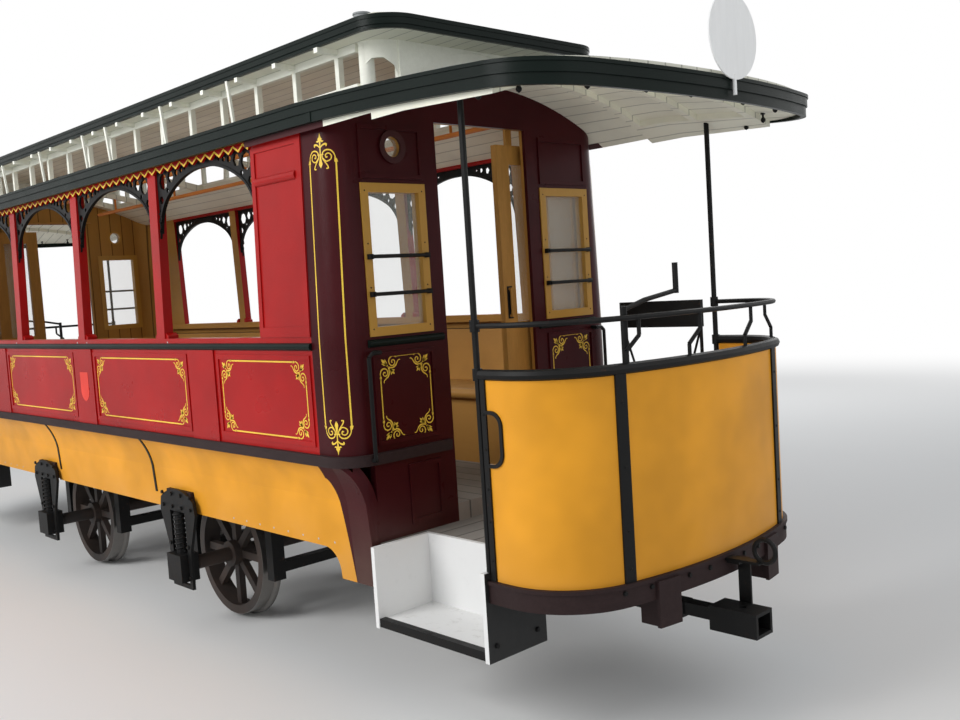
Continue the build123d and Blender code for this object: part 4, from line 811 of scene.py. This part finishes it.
class TRAM_OT_fastenings(bpy.types.Operator):
    """Set the screws, rivets and nuts"""

    bl_idname = "tram.fastenings"
    bl_label = "Fastenings"

    def execute(self, context):
        screw = context.scene.tram_sizes.screw
        iron, bright = FINISHES["iron"], FINISHES["bright"]
        side, end = (0.0, 1.0, 0.0), (1.0, 0.0, 0.0)
        feet = [((x + 0.030, HALF_WIDTH, 1.719), side) for x in (POST_HALF, BAY + POST_HALF)]
        row_z = 0.745
        low = [((1.60 + 0.135 * k, rocker_y(row_z), row_z), side) for k in range(8)]
        fasten("side_screws", four(feet + low), screw, 0.0025, 10, bright)
        strips = [((3.641, 0.858, z), side) for z in (0.83, 0.99, 1.12, 1.28, 1.42)]
        strap_y, strap_out = 0.560, 0.008
        straps = [
            ((dash_x(strap_y, strap_out), strap_y, z), dash_out(strap_y)) for z in (0.80, 0.95, 1.20, 1.45)
        ]
        fasten("dash_rivets", four(strips + straps), 0.007, 0.004, 10, iron)
        rim_z, rim_out = 0.712, 0.014
        rim = [
            ((dash_x(s * y, rim_out), s * y, rim_z), dash_out(s * y))
            for y in (0.0, 0.13, 0.26, 0.47, 0.60) for s in (-1, 1)
        ]
        fasten("rim_nuts", twice(rim), 0.011, 0.009, 6, iron)
        blocks = [((4.128, y, z), end) for y in (0.355, 0.425) for z in (0.575, 0.690)]
        step = [((STEP_X, y, z), end) for y in (0.60, 0.84) for z in (0.47, 0.73)]
        fasten("bearer_nuts", four(blocks + step), 0.012, 0.010, 6, iron)
        guard = [
            ((AXLE_X + x, GUARD_Y, z), side) for x in (-0.165, -0.055, 0.055, 0.165) for z in (0.745, 0.820)
        ]
        guard += [((AXLE_X + x, GUARD_Y, z), side) for x in (-0.107, 0.107) for z in (0.34, 0.52)]
        fasten("guard_nuts", four(guard), 0.013, 0.010, 6, iron)
        windows = [((END_X + 0.007, y, z), end) for y in (0.425, 0.765) for z in (1.76, 1.95, 2.15, 2.39)]
        fasten("window_screws", four(windows), 0.0045, 0.0015, 8, iron)
        return {"FINISHED"}


# Ironwork


def tube(bm, path, radius, flats=6):
    """Round bar along a path, closed at both ends."""
    rings = []
    for k, point in enumerate(path):
        at = Vector(point)
        run = (Vector(path[min(k + 1, len(path) - 1)]) - Vector(path[max(k - 1, 0)])).normalized()
        side = run.orthogonal().normalized() if not rings else (side - run * side.dot(run)).normalized()
        up = run.cross(side)
        wide = radius[k] if isinstance(radius, (list, tuple)) else radius
        rings.append([
            bm.verts.new(at + side * wide * math.cos(t) + up * wide * math.sin(t))
            for t in (2 * math.pi * i / flats for i in range(flats))
        ])
    skin(bm, rings)


def plate(bm, corners, out, thick):
    """Flat plate from its corners, thickened along a direction."""
    skin(bm, [[bm.verts.new(Vector(c) + Vector(out) * t) for c in corners] for t in (0.0, thick)])


# Places of the small hooks under the hood, as (x, y)
HOOKS = (
    (3.792, -0.925), (3.792, 0.925), (3.930, -0.850), (3.930, 0.850), (4.080, -0.640), (4.160, 0.560),
    (4.180, -0.415), (4.200, -0.150), (4.200, 0.230),
)


# Underside of the hood along the car: x, height at the edge, height in the middle
HOOD_STATIONS = (
    (END_X, 2.663, 2.930), (3.400, 2.668, 2.885), (3.900, 2.645, 2.775), (4.285, 2.612, 2.630),
)
ROOF_HALF = 0.960

# Small hooks: distance down from the top and radius
HOOK_SHAPE = (
    (0, 0.012), (0.008, 0.012), (0.010, 0.005), (0.022, 0.005), (0.026, 0.009), (0.036, 0.0125),
    (0.044, 0.009), (0.049, 0.002),
)

# Coils of the springs: radius of the coil, radius of the wire, heights, turns, points in a turn
COIL = (0.031, 0.0065, 0.482, 0.712, 8, 14)
COIL_Y = 0.889

# Straps over the joints of the rockers: places, half width, thickness, heights
STRAP_XS = (-0.805, 0.700)
STRAP = (0.011, 0.005)
STRAP_ZS = (RAIL_Z, 1.118, 1.092, 1.062, 1.030, 0.995, KNEE_Z, 0.88, 0.80)


def hood_under(x, y):
    """Underside of the hood."""
    for (x0, e0, c0), (x1, e1, c1) in zip(HOOD_STATIONS, HOOD_STATIONS[1:]):
        if x <= x1:
            t = (x - x0) / (x1 - x0)
            edge, crown = e0 + (e1 - e0) * t, c0 + (c1 - c0) * t
            return crown - (crown - edge) * (y / ROOF_HALF) ** 2
    return HOOD_STATIONS[-1][1]


class TRAM_OT_ironwork(bpy.types.Operator):
    """Make the coils, straps, hooks and small irons"""

    bl_idname = "tram.ironwork"
    bl_label = "Ironwork"

    def execute(self, context):
        iron = FINISHES["iron"]
        bm = bmesh.new()
        for sx in (-1, 1):
            for sy in (-1, 1):
                self.coil(bm, sx * AXLE_X, sy * COIL_Y)
        seat(from_bmesh("spring_coils", bm), iron, smooth=True)
        bm = bmesh.new()
        for s in (-1, 1):
            for x in STRAP_XS:
                self.rocker_strap(bm, s, x)
        seat(from_bmesh("rocker_straps", bm), iron)
        bm = bmesh.new()
        for s in (-1, 1):
            for x, y in HOOKS:
                self.hook(bm, s, x, y)
        seat(from_bmesh("hood_hooks", bm), iron, smooth=True)
        bm = bmesh.new()
        for s in (-1, 1):
            for side in (-1, 1):
                low, neck, top = (Vector((s * 2.700, side * 0.585, z)) for z in (3.176, 3.224, 3.232))
                tube(bm, [low, neck], 0.040, 24)
                tube(bm, [neck, top], 0.044, 24)
        seat(from_bmesh("roof_outlets", bm), FINISHES["lead"])
        return {"FINISHED"}

    def coil(self, bm, x, y):
        wide, wire, low, high, turns, steps = COIL
        path = []
        for k in range(turns * steps + 1):
            t = 2 * math.pi * k / steps
            z = low + (high - low) * k / (turns * steps)
            path.append((x + wide * math.cos(t), y + wide * math.sin(t), z))
        tube(bm, path, wire)

    def rocker_strap(self, bm, s, x):
        half, thick = STRAP
        rows = []
        for z in STRAP_ZS:
            y = rocker_y(z)
            rows.append([
                bm.verts.new((-s * (x + a * half), s * (y + b), z))
                for a, b in ((-1, -0.0005), (-1, thick), (1, thick), (1, -0.0005))
            ])
        skin(bm, rows)

    def hook(self, bm, s, x, y):
        top = Vector((s * x, s * y, hood_under(x, y) + 0.004))
        path = [top - Vector((0, 0, down)) for down, _ in HOOK_SHAPE]
        tube(bm, path, [wide for _, wide in HOOK_SHAPE], 10)


# Outline of the plain shield: across, up
SHIELD = (
    (-0.062, 0.190), (0.062, 0.190), (0.062, 0.060), (0.050, 0.030), (0.028, 0.010), (0.0, 0.0),
    (-0.028, 0.010), (-0.050, 0.030), (-0.062, 0.060),
)
SHIELD_Y = 0.9578
SHIELD_Z = 1.338

# Raised border of a small upper end panel: x0, x1, z0, z1 of each board
PANEL_BORDER = (
    (2.190, 2.222, 1.742, 2.684), (2.572, 2.618, 1.742, 2.684),
    (2.222, 2.572, 2.632, 2.684), (2.222, 2.572, 1.742, 1.790),
)
PANEL_XS = (2.222, 2.572)
ROUND_Z = 2.491         # middle of the round moulding across it
SCROLL_TOP_Z = 2.444    # where the scrollwork below an arch starts

# Cover over the joint of the fascia: x, z of its corners
JOINT_COVER = ((2.763, 2.690), (2.797, 2.690), (2.797, 2.733), (2.763, 2.733))

# Slotted grip of a door: middle, and thickness, half width and half height of its two steps
GRIP_Y = 0.200
GRIP_Z = 1.830
GRIP_STEPS = ((0.004, 0.019, 0.085), (0.009, 0.008, 0.050))


class TRAM_OT_fittings(bpy.types.Operator):
    """Make the post feet, mouldings, scrollwork, joint covers, door grips and blank shields"""

    bl_idname = "tram.fittings"
    bl_label = "Fittings"

    def execute(self, context):
        self.on_both_sides("post_feet", "red_frame", self.post_feet)
        self.on_both_sides("end_panel_mouldings", "red_frame", self.end_panels)
        self.on_both_sides("post_scrolls", "iron", self.scrolls)
        self.on_both_sides("roof_joints", "fascia", self.roof_joints)
        self.door_grips()
        self.on_both_sides("blank_shields", "shield", self.shield)
        return {"FINISHED"}

    def on_both_sides(self, name, finish, make):
        bm = bmesh.new()
        for s in (-1, 1):
            make(bm, s)
        seat(from_bmesh(name, bm), FINISHES[finish])

    def post_feet(self, bm, s):
        inner_y, out, tall, short, wide = 0.880, 0.062, 0.032, 0.016, 0.031
        for x in POST_XS:
            for side in (-1, 1):
                a = x + side * POST_HALF
                b = x + side * (POST_HALF + wide)
                corners = ((a, 0.0), (b, 0.0), (b, short), (a, tall))
                plate(bm, [(-s * u, s * inner_y, SILL_Z + v) for u, v in corners], (0, s, 0), out)

    def shield(self, bm, s):
        plate(bm, [(-s * x, s * SHIELD_Y, SHIELD_Z + z) for x, z in SHIELD], (0, s, 0), 0.0012)

    def scrolls(self, bm, s):
        """Flat scrollwork on the edges of the posts, below the arches."""
        behind, thick = 0.022, 0.012
        for x in POST_XS:
            for side in (-1, 1):

                def place(u, v):
                    z = SCROLL_TOP_Z - v
                    along = x + side * (POST_HALF - 0.0005 + u)
                    return Vector((-s * along, s * (lean(z) - behind), z)), Vector((0.0, s, 0.0))

                for stroke in LACE_CURLS:
                    ribbon(bm, place, [(a * MM, b * MM, w * MM) for a, b, w in curve(stroke)], thick)

    def roof_joints(self, bm, s):
        for side in (-1, 1):
            plate(bm, [(s * x, side * 0.9845, z) for x, z in JOINT_COVER], (0, side, 0), 0.004)

    def door_grips(self):
        """One grip on each leaf, that moves with it."""
        for s, name in ((1, "front"), (-1, "rear")):
            bm = bmesh.new()
            x, y = s * (LEAF_X - 0.0025), s * GRIP_Y
            for depth, half, tall in GRIP_STEPS:
                corners = ((-half, -tall), (half, -tall), (half, tall), (-half, tall))
                plate(bm, [(x, y + a, GRIP_Z + b) for a, b in corners], (s, 0, 0), depth)
            seat(from_bmesh("door_grip_" + name, bm), FINISHES["iron"], "door_" + name)

    def end_panels(self, bm, s):
        """Raised borders of the small upper end panels, and the round mouldings across them."""
        for side in (-1, 1):
            for x0, x1, z0, z1 in PANEL_BORDER:
                corners = ((x0, z0), (x1, z0), (x1, z1), (x0, z1))
                plate(bm, [(s * x, side * (lean(z) - 0.0003), z) for x, z in corners], (0, side, 0), 0.006)
            half, out = 0.021, 0.017
            arc = [(math.sin(math.pi * k / 8), math.cos(math.pi * k / 8)) for k in range(9)]
            skin(bm, [
                [
                    bm.verts.new((s * x, side * (lean(ROUND_Z) + out * a - 0.0005), ROUND_Z + half * b))
                    for a, b in arc
                ]
                for x in PANEL_XS
            ])


# Lamps: name, place, point aimed at, width, power
LAMPS = (
    ("key", (0.0, -9.5, 6.5), (0.3, -0.6, 1.4), 5.0, 700.0),
    ("fill", (9.5, -0.5, 4.5), (2.5, 0.0, 1.3), 6.0, 70.0),
    ("back", (-3.0, 9.0, 6.0), (0.0, 0.0, 1.6), 7.0, 260.0),
)
SOFT_LIGHT = 0.50       # strength of the world's light
FLOOR_R = 60.0

# Camera at the photograph's viewing angle: place, then heading, pitch and roll in degrees
CAMERA_AT = (6.4924, -3.5653, 1.9340)
CAMERA_TURN = (136.48, -4.31, -3.63)
SENSOR = 36.0
LENS = 1000.95 / 960 * SENSOR


class TRAM_OT_stage(bpy.types.Operator):
    """Set the floor, the lamps and the camera"""

    bl_idname = "tram.stage"
    bl_label = "Stage"

    def execute(self, context):
        scene = context.scene
        scene.view_settings.view_transform = "Standard"
        self.floor()
        self.world(scene)
        for name, at, aim, wide, watts in LAMPS:
            lamp = bpy.data.lights.new(name, "AREA")
            lamp.size = wide
            lamp.energy = watts
            holder = bpy.data.objects.new(name, lamp)
            scene.collection.objects.link(holder)
            holder.location = at
            holder.rotation_euler = (Vector(aim) - Vector(at)).to_track_quat("-Z", "Y").to_euler()
        scene.camera = self.camera(scene)
        return {"FINISHED"}

    def floor(self):
        bm = bmesh.new()
        bmesh.ops.create_circle(bm, cap_ends=True, segments=96, radius=FLOOR_R)
        floor = from_bmesh("floor", bm)
        finish = Finish("floor_paint")
        far = (finish.x * finish.x + finish.y * finish.y) ** 0.5
        plain = finish.nodes.new("ShaderNodeBsdfDiffuse")
        plain.inputs[0].default_value = (0.82, 0.82, 0.81, 1.0)
        light = finish.nodes.new("ShaderNodeEmission")
        light.inputs[0].default_value = (1.0, 1.0, 1.0, 1.0)
        mixed = finish.nodes.new("ShaderNodeMixShader")
        camera = finish.node("ShaderNodeLightPath", out="Is Camera Ray")
        finish.links.new((far.above(12.0, 5.0) * camera).socket, mixed.inputs[0])
        finish.links.new(plain.outputs[0], mixed.inputs[1])
        finish.links.new(light.outputs[0], mixed.inputs[2])
        end = finish.nodes.new("ShaderNodeOutputMaterial")
        finish.links.new(mixed.outputs[0], end.inputs["Surface"])
        floor.data.materials.append(finish.material)
        floor.location.z = -0.001

    def world(self, scene):
        world = bpy.data.worlds.new("studio")
        scene.world = world
        world.use_nodes = True
        nodes, links = world.node_tree.nodes, world.node_tree.links
        nodes.clear()
        path = nodes.new("ShaderNodeLightPath")
        seen = nodes.new("ShaderNodeMath")
        seen.operation = "MAXIMUM"
        links.new(path.outputs["Is Camera Ray"], seen.inputs[0])
        links.new(path.outputs["Is Transmission Ray"], seen.inputs[1])
        shiny = nodes.new("ShaderNodeMath")
        shiny.operation = "MAXIMUM"
        links.new(seen.outputs[0], shiny.inputs[0])
        links.new(path.outputs["Is Glossy Ray"], shiny.inputs[1])
        soft, bright = nodes.new("ShaderNodeBackground"), nodes.new("ShaderNodeBackground")
        soft.inputs[0].default_value = (0.93, 0.96, 1.0, 1.0)
        soft.inputs[1].default_value = SOFT_LIGHT
        bright.inputs[1].default_value = 1.0
        bright.inputs[0].default_value = (1.0, 1.0, 1.0, 1.0)
        mixed = nodes.new("ShaderNodeMixShader")
        links.new(shiny.outputs[0], mixed.inputs[0])
        links.new(soft.outputs[0], mixed.inputs[1])
        links.new(bright.outputs[0], mixed.inputs[2])
        end = nodes.new("ShaderNodeOutputWorld")
        links.new(mixed.outputs[0], end.inputs[0])

    def camera(self, scene):
        heading, pitch, roll = (math.radians(v) for v in CAMERA_TURN)
        level = Vector((math.cos(heading), math.sin(heading), 0.0))
        ahead = level * math.cos(pitch) + Vector((0.0, 0.0, math.sin(pitch)))
        right = Vector((math.sin(heading), -math.cos(heading), 0.0))
        up = right.cross(ahead)
        side = right * math.cos(roll) + up * math.sin(roll)
        top = up * math.cos(roll) - right * math.sin(roll)
        lens = bpy.data.cameras.new("camera")
        lens.sensor_width = SENSOR
        lens.lens = LENS
        lens.clip_end = 200.0
        camera = bpy.data.objects.new("camera", lens)
        scene.collection.objects.link(camera)
        turn = Matrix((side, top, -ahead)).transposed().to_4x4()
        camera.matrix_world = Matrix.Translation(CAMERA_AT) @ turn
        return camera


OPERATORS = (
    TRAM_OT_finishes,
    TRAM_OT_lining,
    TRAM_OT_fastenings,
    TRAM_OT_ironwork,
    TRAM_OT_fittings,
    TRAM_OT_stage,
)


class TRAM_PT_looks(bpy.types.Panel):
    """The tram's looks, piece by piece"""

    bl_idname = "TRAM_PT_looks"
    bl_label = "Tram"
    bl_space_type = "VIEW_3D"
    bl_region_type = "UI"
    bl_category = "Tram"

    def draw(self, context):
        for operator in OPERATORS:
            self.layout.operator(operator.bl_idname)
        for group in (context.scene.tram_paint, context.scene.tram_sizes):
            box = self.layout.box()
            for name in group.__annotations__:
                box.prop(group, name)


CLASSES = (TramPaint, TramSizes, *OPERATORS, TRAM_PT_looks)


def register():
    for item in CLASSES:
        bpy.utils.register_class(item)
    bpy.types.Scene.tram_paint = bpy.props.PointerProperty(type=TramPaint)
    bpy.types.Scene.tram_sizes = bpy.props.PointerProperty(type=TramSizes)


def unregister():
    del bpy.types.Scene.tram_sizes
    del bpy.types.Scene.tram_paint
    for item in reversed(CLASSES):
        bpy.utils.unregister_class(item)


def main():
    register()
    for operator in OPERATORS:
        group, name = operator.bl_idname.split(".")
        getattr(getattr(bpy.ops, group), name)()


if __name__ == "__main__":
    main()
